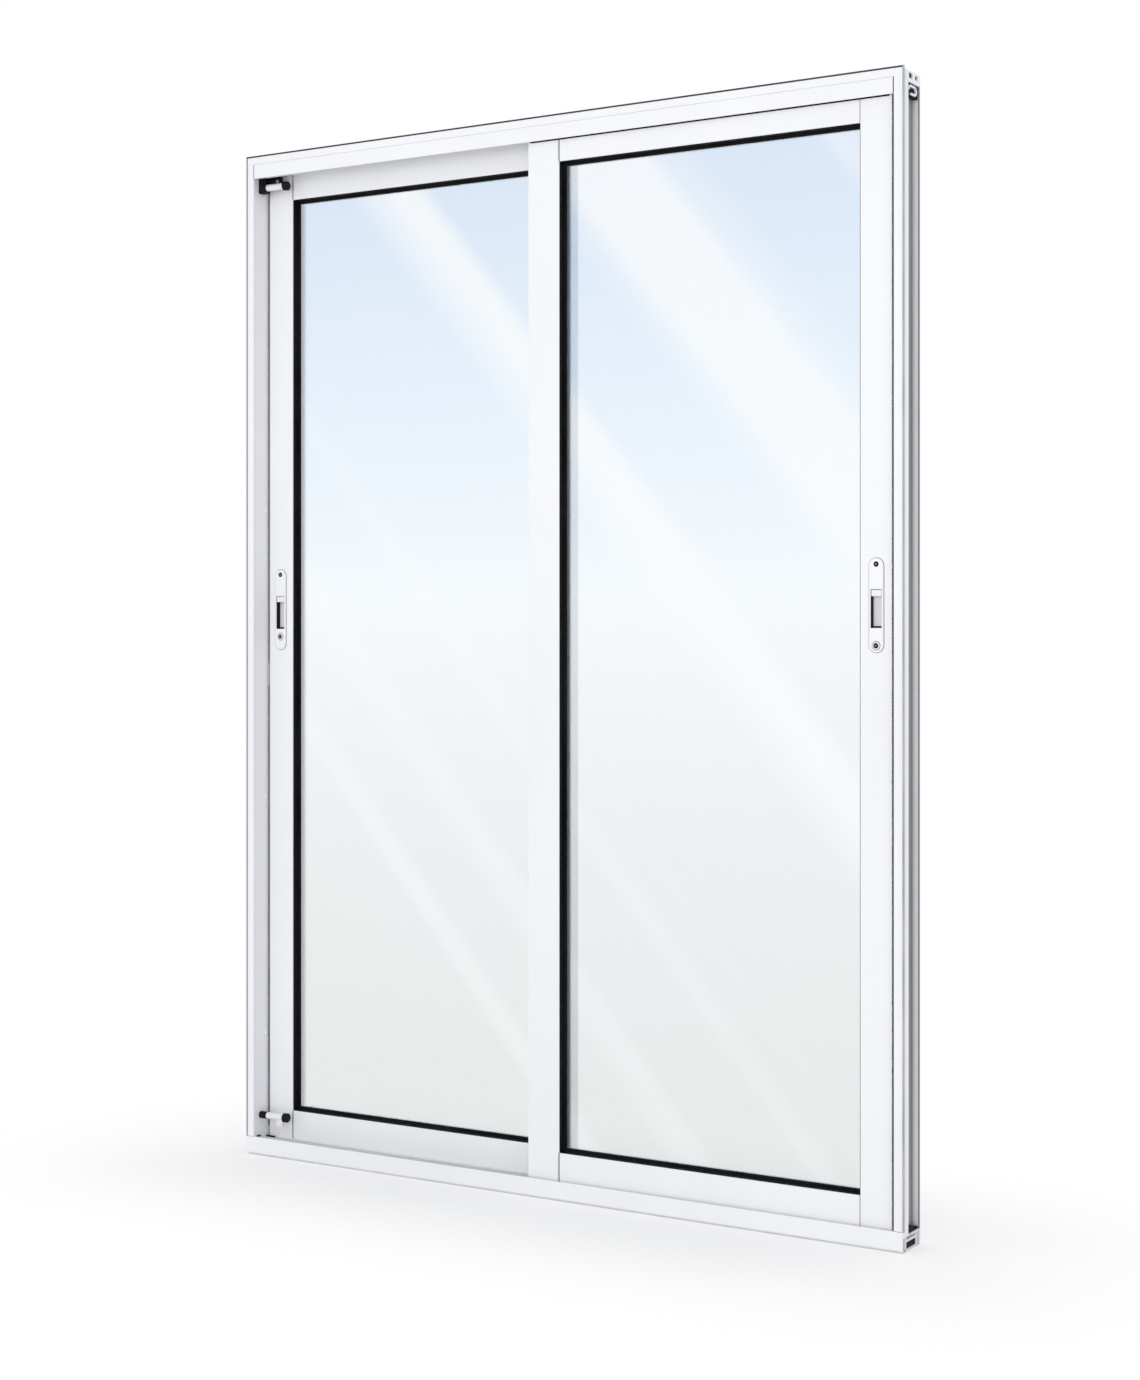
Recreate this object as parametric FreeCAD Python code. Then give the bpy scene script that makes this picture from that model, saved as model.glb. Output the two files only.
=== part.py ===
import FreeCAD, Part
import math
import os

# A two-panel bypass sliding patio door of white extruded aluminium.
# X runs along the door, Y from front to back and Z up.
# The origin is the middle of the sill's underside, so depths from the front are turned into Y by depth().

# Frame
FRAME_WIDTH = 1480.0
FRAME_HEIGHT = 2090.0
FRAME_WALL = 2.0
JAMB_FACE = 16.5
SILL_LIP_TOP = 38.0
SILL_BEVEL = (4.0, 6.0)
DECK_TOP = 28.0
HEAD_UNDERSIDE = 2070.0
FASCIA_BOTTOM = 2045.0
FASCIA_TOP = 2075.0
FASCIA_HOOK = 8.0
FASCIA_END_GAP = 1.5
SHADOW_GAP = 0.6
HEAD_RECESS = 0.8
CHAMBER_DEPTH = 20.0
WALL_CHANNEL = (28.0, 78.5)
SILL_WEB = 16.0
SILL_LOWER_CHAMBER = (4.0, 17.0)
SILL_UPPER_CHAMBER = 19.5
EDGE_RADIUS = 1.2
LIP_RADIUS = 0.6
LINE_WIDTH = 1.0
LINE_DEPTH = 0.6
LINE_FROM_EDGE = 4.0
SIDE_LINE = (14.0, 15.8)
SIDE_LINE_DEPTH = 1.2
RIB_WIDTH = 1.6
RIB_HEIGHT = 2.5
RIB_DEPTHS = (48.0, 58.0)

# Strike plates, set flush in the jambs
STRIKE_BOTTOM = 960.0
STRIKE_TOP = 1052.0
STRIKE_WIDTH = 10.0
STRIKE_SLOT = (4.0, 46.0)

# Ends of the head and the sill, and the blocks and rings that close the corners
HEAD_END_CHAMBERS = (((31.0, 47.0), (2077.0, 2087.0)), ((58.0, 70.0), (2078.0, 2086.0)))
BLOCK_RECESS = 3.5
SILL_BLOCK_TOPS = (46.0, 32.0)
HEAD_BLOCK_BOTTOM = 2047.0
RING_DEPTHS = (31.0, 67.0)
RING_HEIGHTS = (2049.0, 2066.0)
RING_RADIUS = 8.4
RING_WALL = 3.4
RING_MOUTH = ((31.0, 42.0), (2049.0, 2057.0))
RING_RECESS = 0.3
PLUG_RECESS = 3.0
PLUG_LENGTH = 10.0

# Panels and the clearances they run in
CLEARANCE = 5.0
PANEL_DEPTH = 28.0
PANEL_SPACING = 12.0
PANEL_BOTTOM = DECK_TOP + CLEARANCE
PANEL_TOP = 2058.0
OUTER_STILE_WIDTH = 62.0
MEETING_STILE_WIDTH = 70.0
MEETING_EDGES = {1: 45.0, -1: 28.5}
MEETING_BEVEL = (5.0, 2.0)
TOP_RAIL_BOTTOM = 2002.0
BOTTOM_RAIL_TOP = 91.5
PANEL_WALL = 2.0
JOINT_LINE = (1.2, 1.2)
RAIL_CHANNEL_DEPTH = 15.0
ROLLER_CHANNEL_DEPTH = 30.0

# Glazing
GLASS_THICKNESS = 5.0
GLASS_DEPTH = 20.0
POCKET_DEPTH = 10.0
GASKET_FRONT = 2.2
GASKET_WALL = 1.5
GASKET_LIP = 7.0
GASKET_LIP_THICKNESS = 3.0
GASKET_REAR_LIP = 3.5

# Tracks
RAIL_WIDTH = 3.0
RAIL_TOP = 36.0
RAIL_FOOT_WIDTH = 6.0
RAIL_FOOT_HEIGHT = 1.2
RAIL_RADIUS = 1.2
GUIDE_FIN_BOTTOM = 2048.0

# Interlock at the meeting stiles
FIN_THICKNESS = 2.0
FIN_LENGTH = 7.0
FIN_RADIUS = 0.8
INTERLOCK_WIDTH = 14.0

# Latches
LATCH_WIDTH = 28.0
LATCH_BOTTOM = 1058.5
LATCH_TOP = 1226.5
LATCH_PROUD = 2.0
LATCH_CHAMFER = 0.8
LATCH_FROM_EDGE = 30.5
WINDOW_WIDTH = 21.4
WINDOW_BOTTOM = 1102.0
WINDOW_TOP = 1171.0
CUP_DEPTH = 13.0
CUP_WALL = 1.2
THUMB_HEIGHT = 11.4
THUMB_GAP = 1.0
THUMB_RECESS = 0.5
THUMB_CHAMFER = 0.8
GRIP_HEIGHTS = (3.0, 6.0, 9.0)
GRIP_GROOVE = (1.0, 0.7)

# Stops
STOP_LENGTH = 74.0
STOP_HEIGHTS = (80.0, 2028.0)
STOP_BARREL_RADIUS = 7.0
STOP_TIP_RADIUS = 9.5
STOP_TIP_LENGTH = 12.0
STOP_TIP_NOSE = 3.0
STOP_SHIFT = 4.0
STOP_BOSS = (18.0, 7.5)
STOP_FOOT_HEIGHTS = (2017.0, 2047.0)
STOP_WEB_THICKNESS = 3.0
STOP_WEB_OFFSET = 4.5
STOP_WEB_LENGTH = 52.0
STOP_TAB = (45.0, 60.0)
STOP_TAB_WIDTH = 8.0
STOP_TAB_DROP = 18.0

# Rollers and top guides
ROLLER_GROOVE_RADIUS = 10.0
ROLLER_FLANGE_RADIUS = 12.0
ROLLER_WIDTH = 8.0
ROLLER_GROOVE_WIDTH = 3.4
ROLLER_GAP = 0.3
AXLE_RADIUS = 2.5
AXLE_GAP = 0.2
WHEEL_SIDE_GAP = 1.0
WHEEL_END_GAP = 1.5
CARRIAGE_ROOF = 2.0
CARRIAGE_LENGTH = 52.0
CARRIAGE_WIDTH = 18.0
CARRIAGE_BOTTOM = 41.0
CARRIAGE_FROM_EDGE = 120.0
GUIDE_LENGTH = 40.0
GUIDE_SLOT = 4.5
GUIDE_FLOOR = 2.0
GUIDE_DROP = 1.0

# Perimeter seal and wall fixings
SEAL_THICKNESS = 3.0
SEAL_WIDTH = 4.0
SEAL_FROM_FRONT = 0.5
SEAL_RADIUS = 1.0
FIXING_HEIGHTS = (250.0, 750.0, 1350.0, 1850.0)
FIXING_RADIUS = 2.5

# Places that follow from the dimensions above
FRAME_DEPTH = 2 * (FRAME_WALL + CLEARANCE + PANEL_DEPTH) + PANEL_SPACING
HALF_WIDTH = FRAME_WIDTH / 2
JAMB_INNER = HALF_WIDTH - JAMB_FACE
FRONT_PANEL_FACE = FRAME_WALL + CLEARANCE
BACK_PANEL_FACE = FRONT_PANEL_FACE + PANEL_DEPTH + PANEL_SPACING
TRACKS = (FRONT_PANEL_FACE + PANEL_DEPTH / 2, BACK_PANEL_FACE + PANEL_DEPTH / 2)
PANEL_EDGE = JAMB_INNER - CLEARANCE
PANEL_INNER = PANEL_EDGE - OUTER_STILE_WIDTH

# Points nearer than this are one point
TINY = 1e-6


def depth(from_front):
    """Turn a depth behind the frame's front face into Y."""
    return from_front - FRAME_DEPTH / 2


def box(x_range, y_range, z_range):
    """Return a box between the given limits, in either order."""
    low = FreeCAD.Vector(min(x_range), min(y_range), min(z_range))
    high = FreeCAD.Vector(max(x_range), max(y_range), max(z_range))
    size = high - low
    return Part.makeBox(size.x, size.y, size.z, low)


def outline(corners, place):
    """Join corners (a, b) or (a, b, radius) into a closed wire; place turns (a, b) into a point."""
    points = [FreeCAD.Vector(corner[0], corner[1], 0) for corner in corners]
    edges = []
    last = None
    first = None
    for index, corner in enumerate(corners):
        point = points[index]
        radius = corner[2] if len(corner) > 2 else 0
        arrive = leave = point
        if radius:
            back = (points[index - 1] - point).normalize()
            ahead = (points[(index + 1) % len(points)] - point).normalize()
            half_angle = back.getAngle(ahead) / 2
            reach = radius / math.tan(half_angle)
            arrive = point + back * reach
            leave = point + ahead * reach
            crown = point + (back + ahead).normalize() * (radius / math.sin(half_angle) - radius)
        if last is None:
            first = arrive
        elif last.distanceToPoint(arrive) > TINY:
            edges.append(Part.LineSegment(place(last.x, last.y), place(arrive.x, arrive.y)).toShape())
        if radius:
            edges.append(Part.Arc(*[place(p.x, p.y) for p in (arrive, crown, leave)]).toShape())
        last = leave
    if last.distanceToPoint(first) > TINY:
        edges.append(Part.LineSegment(place(last.x, last.y), place(first.x, first.y)).toShape())
    return Part.Wire(edges)


def extrude_upright(corners, holes, z_range, side=1):
    """Extrude an (X, depth) section from z_range[0] to z_range[1]; side -1 mirrors it in X."""
    def place(a, b):
        return FreeCAD.Vector(side * a, depth(b), z_range[0])
    face = Part.Face([outline(corners, place)] + [outline(hole, place) for hole in holes])
    face.validate()
    return face.extrude(FreeCAD.Vector(0, 0, z_range[1] - z_range[0]))


def extrude_along(corners, holes, x_range):
    """Extrude a (depth, Z) section from x_range[0] to x_range[1]."""
    start = min(x_range)

    def place(a, b):
        return FreeCAD.Vector(start, depth(a), b)
    face = Part.Face([outline(corners, place)] + [outline(hole, place) for hole in holes])
    face.validate()
    return face.extrude(FreeCAD.Vector(abs(x_range[1] - x_range[0]), 0, 0))


def rectangle(a_range, b_range, radius=0):
    """Return the corners of a rectangle, rounded by radius."""
    return [(a_range[0], b_range[0], radius), (a_range[1], b_range[0], radius),
            (a_range[1], b_range[1], radius), (a_range[0], b_range[1], radius)]


def turn_about(corners, rear):
    """Mirror a (depth, Z) section about the middle of the frame's depth where rear is true."""
    if not rear:
        return corners
    return [(FRAME_DEPTH - corner[0],) + tuple(corner[1:]) for corner in corners]


def cylinder(radius, start, direction, length):
    """Return a cylinder from start along direction."""
    return Part.makeCylinder(radius, length, FreeCAD.Vector(*start), FreeCAD.Vector(*direction))


def fuse(shapes):
    """Join shapes into one and merge the faces that lie in one plane."""
    return shapes[0].multiFuse(shapes[1:]).removeSplitter()


def save(name, shapes):
    """Write the solids of one node."""
    shape = shapes[0] if len(shapes) == 1 else Part.Compound(shapes)
    shape.exportStep(os.path.join("parts", name + ".step"))
    print(name, len(shape.Solids), shape.isValid(), round(shape.Volume / 1000.0, 1))


# Frame members

def sill_middle():
    """Return the depths of the sill's middle chambers."""
    return SILL_WEB + FRAME_WALL, FRAME_DEPTH - SILL_WEB - FRAME_WALL


def make_sill():
    """Return the sill: a chambered box with a level deck, its lower edges bevelled under the covers."""
    inset, rise = SILL_BEVEL
    near = FRAME_WALL
    far = FRAME_DEPTH - FRAME_WALL
    toe = inset + FRAME_WALL
    corners = [(toe, 0), (FRAME_DEPTH - toe, 0), (far, rise), (far, DECK_TOP)]
    corners += [(near, DECK_TOP), (near, rise)]
    floor = FRAME_WALL
    under_deck = DECK_TOP - FRAME_WALL
    slope = (toe + FRAME_WALL, near + FRAME_WALL)
    webs = (SILL_WEB, FRAME_DEPTH - SILL_WEB)
    front_chamber = [(slope[0], floor), (webs[0], floor), (webs[0], under_deck)]
    front_chamber += [(slope[1], under_deck), (slope[1], rise)]
    rear_chamber = [(FRAME_DEPTH - a, b) for a, b in front_chamber]
    upper_chamber = rectangle(sill_middle(), (SILL_UPPER_CHAMBER, under_deck))
    lower_chamber = rectangle(sill_middle(), SILL_LOWER_CHAMBER)
    chambers = [front_chamber, upper_chamber, lower_chamber, rear_chamber]
    return extrude_along(corners, chambers, (-HALF_WIDTH, HALF_WIDTH))


def make_sill_cover(rear=False):
    """Return the snap-on face of the sill, which stands above the deck as a lip."""
    inset, rise = SILL_BEVEL
    corners = [(0, SILL_LIP_TOP, EDGE_RADIUS), (FRAME_WALL, SILL_LIP_TOP, LIP_RADIUS), (FRAME_WALL, rise)]
    corners += [(inset + FRAME_WALL, 0), (inset, 0), (0, rise, FRAME_WALL)]
    return extrude_along(turn_about(corners, rear), [], (-HALF_WIDTH, HALF_WIDTH))


def make_roller_rail(track):
    """Return the round-topped rail that one panel's rollers run on."""
    sides = (track - RAIL_WIDTH / 2, track + RAIL_WIDTH / 2)
    foot = (track - RAIL_FOOT_WIDTH / 2, track + RAIL_FOOT_WIDTH / 2)
    step = DECK_TOP + RAIL_FOOT_HEIGHT
    corners = [(foot[0], DECK_TOP), (foot[1], DECK_TOP), (foot[1], step), (sides[1], step)]
    corners += [(sides[1], RAIL_TOP, RAIL_RADIUS), (sides[0], RAIL_TOP, RAIL_RADIUS)]
    corners += [(sides[0], step), (foot[0], step)]
    return extrude_along(corners, [], (-JAMB_INNER, JAMB_INNER))


def make_guide_rail(track):
    """Return the fin under the head that keeps one panel's top in line."""
    sides = (track - RAIL_WIDTH / 2, track + RAIL_WIDTH / 2)
    foot = (track - RAIL_FOOT_WIDTH / 2, track + RAIL_FOOT_WIDTH / 2)
    step = HEAD_UNDERSIDE - RAIL_FOOT_HEIGHT
    corners = [(foot[0], HEAD_UNDERSIDE), (foot[1], HEAD_UNDERSIDE), (foot[1], step), (sides[1], step)]
    corners += [(sides[1], GUIDE_FIN_BOTTOM, RAIL_RADIUS), (sides[0], GUIDE_FIN_BOTTOM, RAIL_RADIUS)]
    corners += [(sides[0], step), (foot[0], step)]
    return extrude_along(corners, [], (-JAMB_INNER, JAMB_INNER))


def make_head():
    """Return the head: a chambered box whose middle and top run out over the jambs."""
    far = FRAME_DEPTH - HEAD_RECESS
    corners = [(HEAD_RECESS, FRAME_HEIGHT, EDGE_RADIUS), (far, FRAME_HEIGHT, EDGE_RADIUS), (far, FASCIA_TOP)]
    corners += [(FRAME_DEPTH - FRAME_WALL, FASCIA_TOP), (FRAME_DEPTH - FRAME_WALL, HEAD_UNDERSIDE)]
    corners += [(FRAME_WALL, HEAD_UNDERSIDE), (FRAME_WALL, FASCIA_TOP), (HEAD_RECESS, FASCIA_TOP)]
    heights = (HEAD_UNDERSIDE + FRAME_WALL, FRAME_HEIGHT - FRAME_WALL)
    middle = FRAME_DEPTH / 2
    half_web = FRAME_WALL / 2
    front_chambers = [(2 * FRAME_WALL, CHAMBER_DEPTH), (CHAMBER_DEPTH + FRAME_WALL, middle - half_web)]
    chambers = front_chambers + [(FRAME_DEPTH - high, FRAME_DEPTH - low) for low, high in front_chambers]
    end_chambers = [rectangle(depths, tall) for depths, tall in HEAD_END_CHAMBERS]
    pieces = [extrude_along(corners, [rectangle(c, heights) for c in chambers], (-JAMB_INNER, JAMB_INNER))]
    cap = [(HEAD_RECESS, heights[1]), (far, heights[1])]
    cap += [(far, FRAME_HEIGHT, EDGE_RADIUS), (HEAD_RECESS, FRAME_HEIGHT, EDGE_RADIUS)]
    for side in (-1, 1):
        reach = (side * JAMB_INNER, side * HALF_WIDTH)
        section = rectangle(WALL_CHANNEL, (HEAD_UNDERSIDE, FRAME_HEIGHT))
        pieces.append(extrude_along(section, end_chambers, reach))
        pieces.append(extrude_along(cap, [], reach))
    return fuse(pieces)


def make_fascia(rear=False):
    """Return the cover strip that forms a lip of the head and hooks under its box."""
    top = FASCIA_TOP - SHADOW_GAP
    hook = HEAD_UNDERSIDE - FRAME_WALL
    corners = [(0, FASCIA_BOTTOM, EDGE_RADIUS), (FRAME_WALL, FASCIA_BOTTOM, LIP_RADIUS), (FRAME_WALL, hook)]
    corners += [(FASCIA_HOOK, hook), (FASCIA_HOOK, HEAD_UNDERSIDE), (FRAME_WALL, HEAD_UNDERSIDE)]
    corners += [(FRAME_WALL, top), (0, top, EDGE_RADIUS)]
    end = JAMB_INNER - FASCIA_END_GAP
    return extrude_along(turn_about(corners, rear), [], (-end, end))


def make_corner_blocks():
    """Return the blocks that close the jambs' wall channels: sloping on the sill, square under the head."""
    front, back = WALL_CHANNEL
    sloping = [(front, DECK_TOP), (back, DECK_TOP), (back, SILL_BLOCK_TOPS[1]), (front, SILL_BLOCK_TOPS[0])]
    square = rectangle(WALL_CHANNEL, (HEAD_BLOCK_BOTTOM, HEAD_UNDERSIDE))
    blocks = []
    for side in (-1, 1):
        reach = (side * (JAMB_INNER + FRAME_WALL + RIB_HEIGHT), side * (HALF_WIDTH - BLOCK_RECESS))
        blocks += [extrude_along(profile, [], reach) for profile in (sloping, square)]
    return blocks


def make_corner_rings():
    """Return the open screw rings on the upper corner blocks."""
    outer = rectangle(RING_DEPTHS, RING_HEIGHTS, RING_RADIUS)
    bore = rectangle((RING_DEPTHS[0] + RING_WALL, RING_DEPTHS[1] - RING_WALL),
                     (RING_HEIGHTS[0] + RING_WALL, RING_HEIGHTS[1] - RING_WALL), RING_RADIUS - RING_WALL)
    rings = []
    for side in (-1, 1):
        reach = (side * (HALF_WIDTH - BLOCK_RECESS), side * (HALF_WIDTH - RING_RECESS))
        mouth = extrude_along(rectangle(*RING_MOUTH), [], reach)
        rings.append(extrude_along(outer, [bore], reach).cut(mouth))
    return rings


def make_end_plugs():
    """Return the plugs just inside the open ends of the sill's lower chamber and the head's end chambers."""
    plugs = []
    for side in (-1, 1):
        outer = HALF_WIDTH - PLUG_RECESS
        reach = (side * outer, side * (outer - PLUG_LENGTH))
        for depths, heights in HEAD_END_CHAMBERS + ((sill_middle(), SILL_LOWER_CHAMBER),):
            plugs.append(extrude_along(rectangle(depths, heights), [], reach))
    return plugs


def strike_block(side):
    """Return the block that a strike plate fills in the jamb's inner wall, in line with that side's panel."""
    face = BACK_PANEL_FACE if side < 0 else FRONT_PANEL_FACE
    across = (side * JAMB_INNER, side * (JAMB_INNER + FRAME_WALL))
    return box(across, (depth(face), depth(face + STRIKE_WIDTH)), (STRIKE_BOTTOM, STRIKE_TOP))


def make_strike_plate(side):
    """Return the plate with the slot that a latch hooks into."""
    plate = strike_block(side)
    middle = plate.BoundBox.Center
    half_width = STRIKE_SLOT[0] / 2
    half_height = STRIKE_SLOT[1] / 2
    slot = box((plate.BoundBox.XMin, plate.BoundBox.XMax), (middle.y - half_width, middle.y + half_width),
               (middle.z - half_height, middle.z + half_height))
    return plate.cut(slot)


def make_jamb(side):
    """Return a jamb: a closed chamber at the front, a channel open to the wall, and a flange at the back."""
    web = JAMB_INNER + FRAME_WALL
    front, back = WALL_CHANNEL
    line = (HALF_WIDTH - LINE_FROM_EDGE - LINE_WIDTH, HALF_WIDTH - LINE_FROM_EDGE)
    groove = HALF_WIDTH - SIDE_LINE_DEPTH
    corners = [(JAMB_INNER, 0, EDGE_RADIUS)]
    corners += [(line[0], 0), (line[0], LINE_DEPTH), (line[1], LINE_DEPTH), (line[1], 0)]
    corners += [(HALF_WIDTH, 0, EDGE_RADIUS), (HALF_WIDTH, SIDE_LINE[0]), (groove, SIDE_LINE[0])]
    corners += [(groove, SIDE_LINE[1]), (HALF_WIDTH, SIDE_LINE[1])]
    corners += [(HALF_WIDTH, front, LIP_RADIUS), (web, front)]
    for middle in RIB_DEPTHS:
        rib = (middle - RIB_WIDTH / 2, middle + RIB_WIDTH / 2)
        corners += [(web, rib[0]), (web + RIB_HEIGHT, rib[0]), (web + RIB_HEIGHT, rib[1]), (web, rib[1])]
    corners += [(web, back), (HALF_WIDTH, back, LIP_RADIUS), (HALF_WIDTH, FRAME_DEPTH, EDGE_RADIUS)]
    corners += [(JAMB_INNER, FRAME_DEPTH, EDGE_RADIUS)]
    chamber = rectangle((web, HALF_WIDTH - FRAME_WALL), (FRAME_WALL, front - FRAME_WALL))
    top = FRAME_HEIGHT - FRAME_WALL
    jamb = extrude_upright(corners, [chamber], (DECK_TOP, top), side)
    across = (side * JAMB_INNER, side * HALF_WIDTH)
    clear = (DECK_TOP, SILL_LIP_TOP + SHADOW_GAP)
    cuts = [box(across, (depth(0), depth(FRAME_WALL)), clear),
            box(across, (depth(FRAME_DEPTH - FRAME_WALL), depth(FRAME_DEPTH)), clear),
            box(across, (depth(front), depth(back)), (HEAD_UNDERSIDE, top)),
            strike_block(side)]
    for height in FIXING_HEIGHTS:
        cuts.append(cylinder(FIXING_RADIUS, (side * (JAMB_INNER - 1), 0, height), (side, 0, 0), JAMB_FACE))
    return jamb.cut(Part.Compound(cuts))


def make_seal_strip(side):
    """Return the compressible strip on the outside of one jamb."""
    across = (HALF_WIDTH, HALF_WIDTH + SEAL_THICKNESS)
    along = (SEAL_FROM_FRONT, SEAL_FROM_FRONT + SEAL_WIDTH)
    corners = [(across[0], along[0]), (across[1], along[0], SEAL_RADIUS)]
    corners += [(across[1], along[1], SEAL_RADIUS), (across[0], along[1])]
    return extrude_upright(corners, [], (SILL_LIP_TOP, FRAME_HEIGHT + SEAL_THICKNESS), side)


def make_head_seal():
    """Return the compressible strip on top of the head."""
    along = (SEAL_FROM_FRONT, SEAL_FROM_FRONT + SEAL_WIDTH)
    top = FRAME_HEIGHT + SEAL_THICKNESS
    corners = [(along[0], FRAME_HEIGHT), (along[1], FRAME_HEIGHT)]
    corners += [(along[1], top, SEAL_RADIUS), (along[0], top, SEAL_RADIUS)]
    return extrude_along(corners, [], (-HALF_WIDTH, HALF_WIDTH))


def stop_places():
    """Yield the side, depth and height of each stop: front track at the left, back track at the right."""
    for side, middle in ((-1, TRACKS[0] + STOP_SHIFT), (1, TRACKS[1] - STOP_SHIFT)):
        for height in STOP_HEIGHTS:
            yield side, middle, height


def make_stop_foot(side, middle, height):
    """Return the foot of one stop; the upper ones are blocks with a web that reaches up to the head."""
    y = depth(middle)
    wall = side * JAMB_INNER
    length, radius = STOP_BOSS
    if height < FRAME_HEIGHT / 2:
        return cylinder(radius, (wall, y, height), (-side, 0, 0), length)
    foot = box((wall, wall - side * length), (y - radius, y + radius), STOP_FOOT_HEIGHTS)
    inner = y - side * STOP_WEB_OFFSET
    web = box((wall, wall - side * STOP_WEB_LENGTH), (inner, inner - side * STOP_WEB_THICKNESS),
              (height + STOP_BARREL_RADIUS, HEAD_UNDERSIDE))
    return fuse([foot, web])


def make_stop_barrel(side, middle, height):
    """Return the white barrel of one stop; the lower ones have a tab under them."""
    y = depth(middle)
    start = side * (JAMB_INNER - STOP_BOSS[0])
    length = STOP_LENGTH - STOP_BOSS[0] - STOP_TIP_LENGTH
    barrel = cylinder(STOP_BARREL_RADIUS, (start, y, height), (-side, 0, 0), length)
    if height > FRAME_HEIGHT / 2:
        return barrel
    across = [side * (JAMB_INNER - reach) for reach in STOP_TAB]
    tab = box(across, (y - STOP_TAB_WIDTH / 2, y + STOP_TAB_WIDTH / 2), (height - STOP_TAB_DROP, height))
    return fuse([barrel, tab])


def make_stop_tip(side, middle, height):
    """Return the rubber tip of one stop, with its coned nose."""
    y = depth(middle)
    start = side * (JAMB_INNER - STOP_LENGTH + STOP_TIP_LENGTH)
    straight = STOP_TIP_LENGTH - STOP_TIP_NOSE
    inward = FreeCAD.Vector(-side, 0, 0)
    body = cylinder(STOP_TIP_RADIUS, (start, y, height), inward, straight)
    nose_start = FreeCAD.Vector(start - side * straight, y, height)
    nose = Part.makeCone(STOP_TIP_RADIUS, STOP_TIP_RADIUS - STOP_TIP_NOSE, STOP_TIP_NOSE, nose_start, inward)
    return fuse([body, nose])


# Panels

class Panel:
    """One glazed panel: side 1 is the right one in the front track, side -1 the left one at the back."""

    def __init__(self, name, side, face, fin_direction):
        self.name = name
        self.side = side
        self.face = face
        self.fin_direction = fin_direction
        self.track = face + PANEL_DEPTH / 2
        self.meeting_edge = MEETING_EDGES[side]
        self.meeting_inner = MEETING_STILE_WIDTH - self.meeting_edge

    def across(self, near, far):
        """Return an X range given distances from the door's middle towards this panel's jamb."""
        return tuple(sorted((self.side * near, self.side * far)))

    def deep(self, near, far):
        """Return a Y range given depths behind the panel's face."""
        return depth(self.face + near), depth(self.face + far)

    def notches(self, low, high):
        """Return the cuts that let the roller rail and guide fin pass through a stile's ends."""
        half = RAIL_WIDTH / 2 + CLEARANCE
        middle = PANEL_DEPTH / 2
        sides = self.deep(middle - half, middle + half)
        return [box(self.across(low, high), sides, (PANEL_BOTTOM, RAIL_TOP + CLEARANCE)),
                box(self.across(low, high), sides, (PANEL_TOP - RAIL_CHANNEL_DEPTH, PANEL_TOP))]

    def stile_section(self, free_edge, glass_edge, bevel=None):
        """Return the outline and chamber of a stile; its front edge at the glass is rounded or bevelled."""
        way = 1 if glass_edge > free_edge else -1
        pocket = (GLASS_DEPTH - GASKET_WALL, GLASS_DEPTH + GLASS_THICKNESS + GASKET_WALL)
        floor = glass_edge - way * POCKET_DEPTH
        wall = way * PANEL_WALL
        rear = PANEL_DEPTH
        front_edge = [(glass_edge, 0, EDGE_RADIUS)]
        chamber_edge = [(glass_edge - wall, PANEL_WALL)]
        if bevel:
            start = glass_edge - way * bevel[0]
            front_edge = [(start, 0), (glass_edge, bevel[1])]
            chamber_edge = [(start, PANEL_WALL), (glass_edge - wall, PANEL_WALL + bevel[1])]
        corners = [(free_edge, 0, EDGE_RADIUS)] + front_edge + [(glass_edge, pocket[0])]
        corners += [(floor, pocket[0]), (floor, pocket[1]), (glass_edge, pocket[1]), (glass_edge, rear)]
        corners += [(free_edge, rear, EDGE_RADIUS)]
        chamber = [(free_edge + wall, PANEL_WALL)] + chamber_edge
        chamber += [(glass_edge - wall, pocket[0] - PANEL_WALL), (floor - wall, pocket[0] - PANEL_WALL)]
        chamber += [(floor - wall, rear - PANEL_WALL), (free_edge + wall, rear - PANEL_WALL)]
        return self.shift(corners), self.shift(chamber)

    def shift(self, corners):
        """Move a section's depths from the panel's face to the frame's front."""
        return [(corner[0], corner[1] + self.face) + tuple(corner[2:]) for corner in corners]

    def outer_stile(self):
        """Return the stile at the jamb, with the mortise for the latch."""
        corners, chamber = self.stile_section(PANEL_EDGE, PANEL_INNER)
        stile = extrude_upright(corners, [chamber], (PANEL_BOTTOM, PANEL_TOP), self.side)
        middle = PANEL_EDGE - LATCH_FROM_EDGE
        half = WINDOW_WIDTH / 2 + CUP_WALL
        mortise = box(self.across(middle - half, middle + half), self.deep(0, PANEL_WALL),
                      (WINDOW_BOTTOM - CUP_WALL, WINDOW_TOP + CUP_WALL))
        return stile.cut(Part.Compound(self.notches(PANEL_INNER, PANEL_EDGE) + [mortise]))

    def meeting_stile(self):
        """Return the stile at the middle of the door."""
        corners, chamber = self.stile_section(-self.meeting_edge, self.meeting_inner, MEETING_BEVEL)
        stile = extrude_upright(corners, [chamber], (PANEL_BOTTOM, PANEL_TOP), self.side)
        return stile.cut(Part.Compound(self.notches(-self.meeting_edge, self.meeting_inner)))

    def interlock(self):
        """Return the angle on the meeting stile whose fin hooks behind the other panel's fin."""
        root = PANEL_DEPTH if self.fin_direction > 0 else 0
        tip = root + self.fin_direction * FIN_LENGTH
        flange = root + self.fin_direction * FIN_THICKNESS
        fin = -CLEARANCE / 2
        corners = [(fin, root), (fin, tip, FIN_RADIUS), (fin - FIN_THICKNESS, tip, FIN_RADIUS)]
        corners += [(fin - FIN_THICKNESS, flange), (fin - INTERLOCK_WIDTH, flange)]
        corners += [(fin - INTERLOCK_WIDTH, root)]
        heights = (PANEL_BOTTOM + CLEARANCE, FASCIA_BOTTOM - CLEARANCE)
        return extrude_upright(self.shift(corners), [], heights, self.side)

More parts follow.
